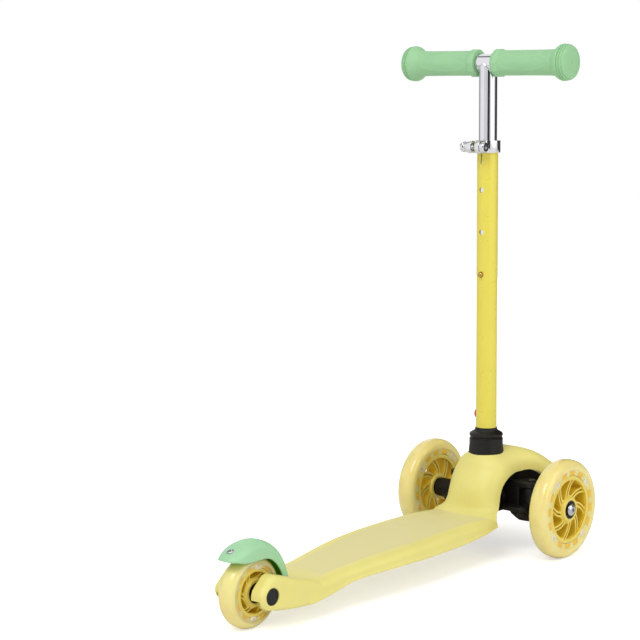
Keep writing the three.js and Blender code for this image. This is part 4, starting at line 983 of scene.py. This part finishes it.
def grip_form():
    bore, end = INNER_TUBE + GAP, BAR_END + GAP
    sleeve = grip_profile(smooth_rows(SLEEVE_SHARES, 60), GRIP_RADIUS)
    bulb = grip_profile(BULB_SHARES, BULB_RADIUS)
    body = lathe([(0, end), (bore, end), (bore, GRIP_INNER), *sleeve, *bulb], "y", ORIGIN, 144)
    places = places_of(body)
    radius, turn = np.hypot(places[:, 0], places[:, 2]), np.arctan2(places[:, 2], places[:, 0])
    for centre in (0, math.pi):
        gap = np.angle(np.exp(1j * (turn - centre))) * GRIP_RADIUS
        oval = np.hypot((places[:, 1] - grip_at(OVAL_PLACE)) / OVAL_REACH, gap / OVAL_WIDTH)
        press = OVAL_DEPTH * np.clip((OVAL_EDGE - oval) / OVAL_FADE, 0, 1) * (radius > bore + 1)
        places[:, [0, 2]] *= (1 - press / np.maximum(radius, 1))[:, None]
    with_places(body, places)
    core = GRIP_RADIUS * 0.9
    collar = [(core, grip_at(0)), *grip_profile(COLLAR_SHARES, COLLAR_RADIUS), (core, grip_at(0.1)),
              (core, grip_at(0))]
    return joined(body, bevelled(lathe(collar, "y", ORIGIN, COLLAR_SIDES), 0.7, 3, 20))


piece("handlebar_tubes", tee_form(), "handlebar", chrome, ["handlebar_tee"])
piece("handlebar_weld", weld_bead(), "handlebar", chrome)
grip_mesh = grip_form()
for side, turn in (("left", 0), ("right", math.pi)):
    placed = Matrix.Translation((STEM_X, 0, CROSSBAR)) @ Matrix.Rotation(turn, 4, "Z")
    piece(f"grip_sleeve_{side}", moved(grip_mesh, placed), "handlebar", mint_rubber,
          [f"grip_{side}"])


# Buttons
SNAP_RADIUS, SNAP_DOME = 3.1, 1.8
RELEASE_FLANGE = 6.5
SNAP_TIP, RELEASE_FACE = OUTER_TUBE + 3.5, OUTER_TUBE + 1.8
snap_profile = [(0, INNER_TUBE + GAP), (SNAP_RADIUS, INNER_TUBE + GAP), (SNAP_RADIUS, SNAP_TIP - SNAP_DOME)]
snap_profile += [(SNAP_RADIUS * math.cos(turn), SNAP_TIP - SNAP_DOME * (1 - math.sin(turn)))
                 for turn in np.linspace(0.1, math.pi / 2 - 0.05, 10)]
snap_profile = [(radius, STEM_X - out) for radius, out in [*snap_profile, (0, SNAP_TIP)]]
piece("snap_button_turned", lathe(snap_profile, "x", (0, 0, SNAP_HEIGHT), 48), "height_button", brass,
      ["snap_button"])
release_inner = (INNER_TUBE + GAP) / 2
release_seat = release_inner + TUBE_WALL
release_profile = [(0, release_inner), (RELEASE_FLANGE, release_inner), (RELEASE_FLANGE, release_seat),
                   (RELEASE_RADIUS, release_seat), (RELEASE_RADIUS, RELEASE_FACE - 0.6),
                   (RELEASE_RADIUS * 0.85, RELEASE_FACE), (0, RELEASE_FACE)]
piece("release_button_turned", lathe(eased(release_profile, 0.5), "y", (STEM_X, 0, RELEASE_HEIGHT), 64),
      "stem_button", red_plastic, ["release_button"])


# Axle ends and kingpins, drawn for the left side and mirrored
SIDES = (("left", 1), ("right", -1))
DOME_HEIGHT, WELL_RADIUS, WELL_DEPTH = 4, 2.6, 2.6
# Dome of the front axle bolts: [radius, height]
DOME_SHARES = [(1, 0), (1, 0.3), (0.92, 0.6), (0.72, 0.85), (0.48, 1), (0, 1)]
KINGPIN_FOOT, KINGPIN_SEAT, KINGPIN_HEAD = 39, 87 + GAP, 5.1


def sided(profile, way, centre, ease):
    return lathe([(radius, way * out) for radius, out in eased(profile, ease)], "y", centre, 64)


def rear_cap_profile():
    face, foot, radius = half_at(REAR_X) + GAP, CAP_INNER + 2 * GAP, CAP_SEAT - GAP
    return [(0, foot), (radius, foot), (radius, face - 0.2), (radius - 0.8, face),
            (radius - 1.6, face - 0.5), (radius * 0.5, face - 0.25), (0, face - 0.2)]


def rear_spacer_profile():
    near, far, bore = BEARING_RADIUS + GAP, FORK_INNER - GAP, AXLE_RADIUS + GAP
    return [(bore, near), (CAP_SEAT, near), (CAP_SEAT, far), (bore, far), (bore, near)]


def axle_bolt_form(way):
    foot, seat = KINGPIN_Y + 6, WHEEL_Y + BEARING_RADIUS + GAP
    tip = seat + DOME_HEIGHT
    profile = [(0, foot), (AXLE_RADIUS, foot), (AXLE_RADIUS, seat),
               *[(radius * BOLT_HEAD, seat + up * DOME_HEIGHT) for radius, up in DOME_SHARES]]
    centre = (0, 0, FRONT_RADIUS)
    well = hex_well(WELL_RADIUS, "y", way * (tip - WELL_DEPTH), way * (tip + OVERRUN), centre)
    return cut(sided(profile, way, centre, 0.8), well)


def kingpin_form(way):
    top = KINGPIN_SEAT + 2.4
    profile = [(0, KINGPIN_FOOT), (3, KINGPIN_FOOT), (3, KINGPIN_SEAT), (KINGPIN_HEAD, KINGPIN_SEAT),
               (KINGPIN_HEAD, top - 1.2), (3.4, top), (0, top)]
    return lathe(eased(profile, 0.5), "z", (0, way * KINGPIN_Y, 0), 48)


for side, way in SIDES:
    piece(f"rear_cap_moulded_{side}", sided(rear_cap_profile(), way, REAR_CENTRE, 0.5), "chassis",
          black_plastic, [f"rear_cap_{side}"])
    piece(f"rear_spacer_moulded_{side}", sided(rear_spacer_profile(), way, REAR_CENTRE, 0.8), "chassis",
          black_plastic, [f"rear_spacer_{side}"])
for side, way in SIDES:
    piece(f"axle_bolt_turned_{side}", axle_bolt_form(way), f"{side}_knuckle", steel,
          [f"axle_bolt_{side}"])
    piece(f"kingpin_turned_{side}", kingpin_form(way), "truck", dark_steel, [f"kingpin_{side}"])


# Brake flap: rings from the tail to the foot, [crest along, up, edge along, up, width]
FLAP_HALF, FLAP_REACH, FLAP_CREST, SHOE_GAP = 16, 50, 56, 5.5
FLAP_SHARES = [(-0.75, 0.735, -0.74, 0.705, 0.25), (-0.71, 0.775, -0.705, 0.7, 0.6),
               (-0.61, 0.835, -0.61, 0.69, 0.84), (-0.46, 0.91, -0.46, 0.66, 0.96),
               (-0.27, 0.972, -0.27, 0.64, 1), (-0.01, 1, -0.01, 0.64, 1), (0.19, 0.987, 0.13, 0.64, 1),
               (0.37, 0.939, 0.27, 0.625, 1), (0.53, 0.868, 0.39, 0.59, 1), (0.71, 0.734, 0.51, 0.51, 1),
               (0.85, 0.573, 0.61, 0.42, 1), (0.95, 0.393, 0.69, 0.31, 1), (1.02, 0.214, 0.74, 0.21, 1),
               (1.07, 0.036, 0.79, 0.05, 1)]
# Each screw's place along and up, as shares, its tilt and its length
SCREWS = {"tail": (-0.545, 0.872, -0.46, 7), "front": (0.99, 0.25, 1.33, 3.5)}
SCREW_HEAD, SCREW_SHANK, SCREW_BOSS, SLOT_REACH, SLOT_HALF = 3.7, 1.7, 5.6, 2, 0.4
WELL_FLOOR = -1.4
FLAP_CUBE, FLAP_CUBE_QUICK = 0.55, 1.0
# Fine ribs across the crest: from and to this turn, at this pitch, this high, fading at this width
RIB_FROM, RIB_TO, RIB_PITCH, RIB_HEIGHT, RIB_FADE = 1.38, 2.15, 0.052, 0.28, 14


def flap_place(along, up):
    return Vector((REAR_X + along * FLAP_REACH, 0, REAR_RADIUS + up * FLAP_CREST))


def flap_ring(crest_along, crest_up, edge_along, edge_up, width):
    half, edge = width * FLAP_HALF, flap_place(edge_along, edge_up)
    across = flap_place(crest_along, crest_up) - edge
    rise = min(half / 2 / across.length, 0.85)
    ring = []
    for turn in np.linspace(-math.pi / 2, math.pi / 2, 33):
        place = edge + across * (1 - rise + rise * math.cos(turn))
        ring.append((place.x, half * math.sin(turn), place.z))
    return ring + [(edge.x, half, edge.z), (edge.x, -half, edge.z)]


def screw_place(name):
    along, up, tilt, _ = SCREWS[name]
    return Matrix.Translation(flap_place(along, up)) @ Matrix.Rotation(tilt, 4, "Y")


def ribbed(form):
    places = places_of(form)
    along, up = places[:, 0] - REAR_X, places[:, 2] - REAR_RADIUS
    turn, radius = np.arctan2(up, along), np.hypot(along, up)
    crest = (turn > RIB_FROM) & (turn < RIB_TO) & (radius > REAR_RADIUS + 5)
    wave = 0.5 + 0.5 * np.cos(turn * 2 * math.pi / RIB_PITCH)
    lift = RIB_HEIGHT * wave * falloff(places[:, 1], 0, RIB_FADE)
    shift = np.where(crest, lift, 0) / np.maximum(radius, 1)
    places[:, 0] += along * shift
    places[:, 2] += up * shift
    return with_places(form, places)


def flap_form():
    shell = loft([flap_ring(*row) for row in smooth_rows(FLAP_SHARES, 90)])
    barrel = rod(BARREL_RADIUS, "y", -FLAP_HALF, FLAP_HALF, (PIN_X, 0, PIN_HEIGHT), 64)
    inside = WHEEL_HALF + RUN_GAP
    form = cut(joined(shell, barrel), rod(REAR_RADIUS + SHOE_GAP, "y", -inside, inside, REAR_CENTRE, 160))
    boss = rod(SCREW_HEAD * 1.6, "z", -SCREW_BOSS, -GAP, ORIGIN, 40)
    form = joined(form, moved(boss, screw_place("front")))
    form = smoothed(form, FLAP_CUBE, 4)
    seat = SCREW_HEAD + GAP
    for name, (*_, length) in SCREWS.items():
        foot = -length - GAP
        well = lathe([(0, foot), (2, foot), (2, WELL_FLOOR), (seat, WELL_FLOOR), (seat, 4), (0, 4)], "z",
                     ORIGIN, 48)
        form = cut(form, moved(well, screw_place(name)))
    form = cut(form, rod(PIN_RADIUS + GAP, "y", -DECK_HALF, DECK_HALF, (PIN_X, 0, PIN_HEIGHT), 48))
    return ribbed(form)


def flap_shaded_faces(normal, x, y, z):
    """The faces that look at the tyre get painted shade: a deeper, more saturated green standing in for the
    yellow tyre's bounce light.
    """
    wall = WHEEL_HALF + RUN_GAP
    outward = Vector((x - REAR_X, 0, z - REAR_RADIUS))
    near = outward.length < REAR_RADIUS + SHOE_GAP + 1.6 and abs(y) < wall + 0.4
    roof = near and normal.dot(outward) < 0
    cheek = abs(abs(y) - wall) < 1 and normal.y * y < 0 and abs(normal.y) > 0.6
    return roof or cheek


def screw_form(name):
    length, neck_foot = SCREWS[name][3], -SCREW_HEAD / 3
    profile = [(0, -length), (SCREW_SHANK, -length), (SCREW_SHANK, neck_foot), (SCREW_HEAD, neck_foot),
               (SCREW_HEAD, 0.2), (SCREW_HEAD * 0.86, 0.9), (SCREW_HEAD * 0.5, 1.25), (0, 1.35)]
    form = lathe(eased(profile, 0.4), "z", ORIGIN, 48)
    for along, across in ((SLOT_REACH, SLOT_HALF), (SLOT_HALF, SLOT_REACH)):
        form = cut(form, block((-along, -across, 0), (along, across, 4)))
    return moved(form, screw_place(name))


def sorted_faces(mesh, materials, second):
    """Gives the mesh two materials, the second one to the faces that second() picks."""
    for entry in materials:
        mesh.materials.append(entry)
    for face in mesh.polygons:
        face.material_index = 1 if second(face.normal, *face.center) else 0
    return mesh


# The second material is painted bounce shade on the faces that look at the tyre
FLAP_MATERIALS = [mint_plastic, flap_inner]
piece("brake_flap_moulded", sorted_faces(flap_form(), FLAP_MATERIALS, flap_shaded_faces), "brake", FLAP_MATERIALS,
      ["brake_flap"])
for name in SCREWS:
    piece(f"brake_screw_turned_{name}", screw_form(name), "brake", steel, [f"brake_screw_{name}"])


# Wheels round their own centre, outer side towards -Y
WHEELS = {
    "front": dict(radius=FRONT_RADIUS, rim=41, tooth=45.5, drop=10, bend=0.8, pitches=16, first=39, leds=4,
                  spokes=8, groove=14.6, lean=-0.5, rim_inner=36.1, spoke_half=3.6),
    "rear": dict(radius=REAR_RADIUS, rim=26.5, tooth=30, drop=10, bend=1.0, pitches=12, first=81.5, leds=2,
                 spokes=6, groove=10, lean=-0.35, rim_inner=22.5, spoke_half=3),
}
LED_HALF = 4.2
WEB_HALF = 8.2
RIM_HALF = 10.5
BOSS = 14.5
BOSS_FLARE = 1.4
BEARING_SHOULDER = 3.7
STEP_REACH = 2.2
CHANNEL_HALF, CHANNEL_FLOOR = 6, 5.2
WINDOW_OUTER, WINDOW_INNER, CORNER = 4, 2.5, 2.5
GROOVE_DEPTH, GROOVE_HALF, GROOVE_SPREAD = 3, 1.05, 0.5
KEY_DEPTH, KEY_FACE, KEY_SHARE = 4, 11.15, 0.3
LED_FACE, LED_INWARD = 11.1, 0.9
CHIP_FOOT, CHIP_FACE, CHIP_IN, CHIP_OUT, CHIP_HALF = 10.0, 11.25, 2, 1.2, 2.2
LENS_RADIUS, LENS_PLACE = 1.4, 2.3
RACE_INNER, SEAL_INNER, SEAL_OUTER, SEAL_DEPTH = 4.15, 6, 9.4, 0.6


def polar(radius, turn):
    return radius * math.cos(turn), radius * math.sin(turn)


def tyre_form(size):
    lip, bend = size["rim"] + GAP, size["bend"]
    shoulder = size["radius"] - size["drop"]
    end = math.pi / 2 - 0.02
    crown = [(shoulder + size["drop"] * math.cos(turn) ** bend, WHEEL_HALF * power(math.sin(turn), bend))
             for turn in np.linspace(-end, end, 61)]
    step, channel = size["tooth"] + STEP_REACH, size["tooth"] + GAP
    flank = [(step, WHEEL_HALF - 1.1), (step + 0.7, WHEEL_HALF - 0.25)]
    outline = [(lip, -RIM_HALF), *[(r, -y) for r, y in flank], *crown, *reversed(flank), (lip, RIM_HALF),
               (lip, CHANNEL_HALF), (channel, CHANNEL_FLOOR), (channel, -CHANNEL_FLOOR),
               (lip, -CHANNEL_HALF), (lip, -RIM_HALF)]
    return lathe(outline, "y", ORIGIN, 144)


def spoke_turn(size, radius, k):
    lean = size["lean"] * (radius - BOSS) / (size["rim_inner"] - BOSS)
    return math.radians(size["groove"]) + k * 2 * math.pi / size["spokes"] + lean


def rounding(depth, reach):
    """From 0 at the edge to 1 at reach, along a quarter circle."""
    return math.sqrt(max(0, 1 - (1 - depth / reach) ** 2)) if depth < reach else 1


def between(inner, outer, edges):
    """Outline from radius inner to outer, between the two turns that edges() gives."""
    low, high = [], []
    for radius in np.linspace(inner, outer, 14):
        start, end = edges(radius)
        low.append(polar(radius, start))
        high.append(polar(radius, end))
    return [*low, *reversed(high)]


def window(size, k):
    """Gap between two spokes, with rounded corners."""
    inner, outer, half = BOSS + 2.2, size["rim_inner"], size["spoke_half"]

    def edges(radius):
        share = min(rounding(outer - radius, WINDOW_OUTER), rounding(radius - inner, WINDOW_INNER))
        start = spoke_turn(size, radius, k) + half / radius
        end = spoke_turn(size, radius, k + 1) - half / radius
        middle, reach, corner = (start + end) / 2, max((end - start) / 2, 0.01), CORNER / radius
        narrow = reach - corner if reach > corner else 0.3 * reach
        soft = reach * share + narrow * (1 - share)
        return middle - soft, middle + soft
    return between(inner, outer, edges)


def groove(size, k):
    inner, outer = BOSS + 1.6, size["rim_inner"] + 0.4
    centre, reach = (inner + outer) / 2, (outer - inner) / 2

    def edges(radius):
        share = math.sqrt(max(0.05, 1 - abs((radius - centre) / reach) ** 8))
        half = (GROOVE_HALF + GROOVE_SPREAD * (radius - inner) / (outer - inner)) * share
        middle = spoke_turn(size, radius, k)
        return middle - half / radius, middle + half / radius
    return between(inner, outer, edges)


def hub_form(size):
    rim, inner, through, floor = size["rim"], size["rim_inner"], WEB_HALF + 1, WEB_HALF - GROOVE_DEPTH
    ring = [(inner, -RIM_HALF), (rim, -RIM_HALF), (rim, RIM_HALF), (inner, RIM_HALF), (inner, -RIM_HALF)]
    form = rod(inner + 1, "y", -WEB_HALF, WEB_HALF, ORIGIN, 128)
    for k in range(size["spokes"]):
        strip = groove(size, k)
        form = cut(form, prism(window(size, k), "y", -through, through), prism(strip, "y", -through, -floor),
                   prism(strip, "y", floor, through))
    flare = BOSS + BOSS_FLARE
    boss = [(0, -HUB_HALF), (BOSS, -HUB_HALF), (flare, -WEB_HALF), (flare, WEB_HALF),
            (BOSS, HUB_HALF), (0, HUB_HALF)]
    form = joined(form, lathe(eased(ring, 0.8), "y", ORIGIN, 128), lathe(eased(boss, 0.6), "y", ORIGIN, 96))
    seat, end = BEARING_RADIUS + GAP, HUB_HALF + 1
    form = cut(form, rod(seat, "y", -end, -BEARING_SHOULDER), rod(seat, "y", BEARING_SHOULDER, end),
               rod(BEARING_RADIUS - RUN_GAP, "y", -HUB_HALF, HUB_HALF))
    return bevelled(form, 0.35, 2, 40)


def hub_shaded_faces(size, normal, x, y, z):
    """Painted shade, a deeper gold, in the windows and grooves; the hub's own pale colour at the front of
    the spokes and on the rim.
    """
    front = abs(normal.y) > 0.35 or math.hypot(x, z) > size["rim_inner"] + 1
    return not (front and abs(y) > WEB_HALF - 0.9)


def key_positions(size):
    """Angles of the ring's places, lamps first."""
    turns = [math.radians(size["first"] + k * 360 / size["pitches"]) for k in range(size["pitches"])]
    every = size["pitches"] // size["leds"]
    return turns[::every], [turn for k, turn in enumerate(turns) if k % every]


def merged(parts):
    form = bmesh.new()
    for part in parts:
        form.from_mesh(part)
    mesh = bpy.data.meshes.new("merged")
    form.to_mesh(mesh)
    form.free()
    return mesh


def keys_form(size, turns):
    """Keys of the hub's flange, set in the tyre's sides."""
    inner, outer = size["rim"] + 0.8, size["tooth"] + 1.6
    share = KEY_SHARE * 2 * math.pi / size["pitches"]
    spans = np.linspace(-share, share, 9)
    parts = []
    for turn in turns:
        outline = [polar(inner, turn + span) for span in spans]
        outline += [polar(outer, turn + span) for span in spans[::-1]]
        parts += [bevelled(prism(outline, "y", *sorted((way * KEY_DEPTH, way * KEY_FACE))), 0.9, 3, 40)
                  for way in (-1, 1)]
    return merged(parts)


def led_forms(size, turns):
    cases, chips = [], []
    middle = size["tooth"] - LED_INWARD
    for turn in turns:
        spin = Matrix.Rotation(-turn, 4, "Y")
        for way in (-1, 1):
            low, high = sorted((way * KEY_DEPTH, way * LED_FACE))
            case = block((middle - LED_HALF, low, -LED_HALF), (middle + LED_HALF, high, LED_HALF))
            cases.append(moved(bevelled(case, 0.7, 3, 40), spin))
            low, high = sorted((way * CHIP_FOOT, way * CHIP_FACE))
            chip = block((middle - CHIP_IN, low, -CHIP_HALF), (middle + CHIP_OUT, high, CHIP_HALF))
            lens = [(0, low), (LENS_RADIUS, low), (LENS_RADIUS, high), (LENS_RADIUS / 2, high + 0.4),
                    (0, high + 0.5)]
            lens = lathe(eased(lens, 0.3), "y", (middle + LENS_PLACE, 0, 0), 24)
            chips += [moved(bevelled(chip, 0.3, 2, 40), spin), moved(lens, spin)]
    return merged(cases), merged(chips)


def bearing_form(way):
    near, far = BEARING_RADIUS - 7, BEARING_RADIUS
    floor = far - SEAL_DEPTH
    profile = [(RACE_INNER, near), (RACE_INNER, far), (SEAL_INNER, far), (SEAL_INNER + 0.3, floor),
               (SEAL_OUTER - 0.3, floor), (SEAL_OUTER, far), (BEARING_RADIUS, far), (BEARING_RADIUS, near),
               (RACE_INNER, near)]
    race = moved(lathe(eased(profile, 0.2, 2), "y", ORIGIN, 72), Matrix.Scale(way, 4, (0, 1, 0)))
    if way < 0:
        race.flip_normals()
    return race


# The seals get black, their own colour; the rest of each race gets dark steel as painted shade
def bearing_faces(normal, x, y, z):
    sealed = SEAL_INNER + 0.1 < math.hypot(x, z) < SEAL_OUTER - 0.1
    return sealed and abs(y) > BEARING_RADIUS - 2 * SEAL_DEPTH


def add_wheel(name, size, centre, turn, body):
    spin = Matrix.Rotation(turn, 4, "Z")

    def add(part, mesh, material, nodes=()):
        replaced = [f"{name}_{node}" for node in nodes]
        piece(f"{name}_{part}", moved(mesh, spin), body, material, replaced, centre)
    leds, keys = key_positions(size)
    cases, chips = led_forms(size, leds)
    # The hub's recesses get painted shade; the bearings' races get dark steel as painted shade, and their
    # seals get black, the seals' own colour
    hub_materials, race_materials = [hub_pale, hub_gold], [dark_steel, black_plastic]
    hub = sorted_faces(hub_form(size), hub_materials, lambda *face: hub_shaded_faces(size, *face))
    add("tyre_cast", tyre_form(size), urethane, ["tyre"])
    add("hub_moulded", hub, hub_materials, ["hub"])
    add("keys", keys_form(size, keys), dash_orange)
    add("lamp_cases", cases, led_case)
    add("lamp_chips", chips, led_chip)
    for part, way in (("inner", 1), ("outer", -1)):
        race = sorted_faces(bearing_form(way), race_materials, bearing_faces)
        add(f"bearing_turned_{part}", race, race_materials, [f"bearing_{part}"])


add_wheel("front_left", WHEELS["front"], (0, WHEEL_Y, FRONT_RADIUS), math.pi, "left_wheel")
add_wheel("front_right", WHEELS["front"], (0, -WHEEL_Y, FRONT_RADIUS), 0, "right_wheel")
add_wheel("rear", WHEELS["rear"], REAR_CENTRE, 0, "rear_wheel")


# Solids that stay as they are get their finish
KEPT = dict.fromkeys(["pivot_bolt", "pivot_spacer", "rear_axle_bolt", "rear_axle_nut", "brake_pin",
                      "snap_spring", "release_spring", "front_left_sleeve", "front_right_sleeve",
                      "rear_sleeve"], steel)
KEPT["lean_bush"] = bush_rubber
for name, material in KEPT.items():
    for kept_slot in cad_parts[name].material_slots:
        kept_slot.material = material


# Studio
AMBIENT = 0.59
# Dark flags stand round the stage, seen only in reflections: [degrees, half width, grey]
FLAGS = [(-170, 6, 0.5), (-136, 14, 0.05), (-6, 40, 0.06), (95, 14, 0.25)]
FLAG_EDGE = 3
LAMPS = {"key": ((-1.6, -0.4, 2.2), 1.6, 25), "fill": ((0.4, -2.2, 1.2), 2.0, 12)}
LAMP_TARGET = (0, 0, 0.2)
FLOOR_HALF = 2.6
FLOOR_GREYS = ((0.9, 0.9, 0.9), (0.92, 0.92, 0.92))
# The floor's glow rises from 0.5 to 0.9 between 0.5 and 2 m from the middle, for the camera alone
FLOOR_GLOW = (0.5, 0.9, 0.5, 2.0)
# The camera of the photograph: its angles in radians, focal length and picture in pixels, and place in mm
YAW, PITCH, ROLL = -0.85624, 0.13626, -0.007276
FOCAL, PICTURE = 1819.24, 640
AIM, DISTANCE = (-199.56, 113.34, 293.18), 2152.6


def studio_world():
    world = bpy.data.worlds.new("studio")
    bpy.context.scene.world = world
    world.use_nodes = True
    world.node_tree.nodes.clear()
    nodes = Nodes(world)

    def made(kind, *values):
        node = nodes.add(kind)
        for socket, value in zip(node.inputs, values):
            nodes.feed(socket, value)
        return node.outputs[0]

    def glow(colour, strength=1.0):
        return made("ShaderNodeBackground", colour, strength)

    def mixed(share, first, second):
        return made("ShaderNodeMixShader", share, first, second)
    path = nodes.add("ShaderNodeLightPath").outputs
    x, y, _ = nodes.xyz(nodes.places["Generated"])
    ramp = nodes.add("ShaderNodeValToRGB")
    nodes.feed(ramp.inputs["Fac"], nodes.ranged(nodes.math("ARCTAN2", y, x), 0, 1, -math.pi, math.pi))
    stops, white = ramp.color_ramp, (1, 1, 1, 1)
    for place in (0, 1):
        stops.elements[place].position, stops.elements[place].color = place, white
    for middle, half, grey in FLAGS:
        for angle, level in ((-half - FLAG_EDGE, 1), (-half, grey), (half, grey), (half + FLAG_EDGE, 1)):
            stops.elements.new((middle + angle + 180) / 360).color = (level, level, level, 1)
    lit = mixed(path["Is Glossy Ray"], glow(white, AMBIENT), glow(ramp.outputs["Color"]))
    seen = nodes.math("MAXIMUM", path["Is Camera Ray"], path["Is Transmission Ray"])
    nodes.feed(nodes.add("ShaderNodeOutputWorld").inputs["Surface"], mixed(seen, lit, glow(white)))


def lamp(name, place, size, watts):
    light = bpy.data.lights.new(name, "AREA")
    light.shape, light.size, light.energy = "DISK", size, watts
    holder = add_object(name, light)
    holder.location = place
    holder.rotation_euler = (Vector(LAMP_TARGET) - Vector(place)).to_track_quat("-Z", "Y").to_euler()


def studio_floor():
    mesh = bpy.data.meshes.new("floor")
    corners = [(-1, -1), (1, -1), (1, 1), (-1, 1)]
    mesh.from_pydata([(x * FLOOR_HALF, y * FLOOR_HALF, 0) for x, y in corners], [], [[0, 1, 2, 3]])
    nodes = Nodes(bpy.data.materials.new("floor_paper"))
    nodes.shade("Base Color", nodes.blend(nodes.ranged(nodes.noise(0.4, 3), 0, 1), *FLOOR_GREYS))
    nodes.shade("Roughness", 0.9)
    nodes.shade("Specular IOR Level", 0.0)
    away = nodes.add("ShaderNodeVectorMath", operation="LENGTH")
    nodes.feed(away.inputs[0], nodes.object)
    glow = nodes.ranged(away.outputs["Value"], *FLOOR_GLOW)
    seen = nodes.add("ShaderNodeLightPath").outputs["Is Camera Ray"]
    nodes.shade("Emission Color", (1, 1, 1, 1))
    nodes.shade("Emission Strength", nodes.math("MULTIPLY", seen, glow))
    mesh.materials.append(nodes.owner)
    floor = add_object("floor", mesh)


def studio_camera():
    """Stands where the photograph was taken from."""
    back = Vector((math.sin(YAW) * math.cos(PITCH), -math.cos(YAW) * math.cos(PITCH), math.sin(PITCH)))
    right = Vector((0, 0, 1)).cross(back).normalized()
    up = back.cross(right)
    right, up = (math.cos(ROLL) * right + math.sin(ROLL) * up, math.cos(ROLL) * up - math.sin(ROLL) * right)
    camera = bpy.data.cameras.new("camera")
    camera.sensor_width = 36
    camera.lens = FOCAL * camera.sensor_width / PICTURE
    holder = add_object("camera", camera)
    place = TO_ROW @ Vector(AIM) + back * DISTANCE / 1000
    holder.matrix_world = Matrix.Translation(place) @ Matrix((right, up, back)).transposed().to_4x4()
    bpy.context.scene.camera = holder


studio_world()
for name, (place, size, watts) in LAMPS.items():
    lamp(name, place, size, watts)
studio_floor()
studio_camera()
bpy.context.scene.view_settings.view_transform = "Standard"
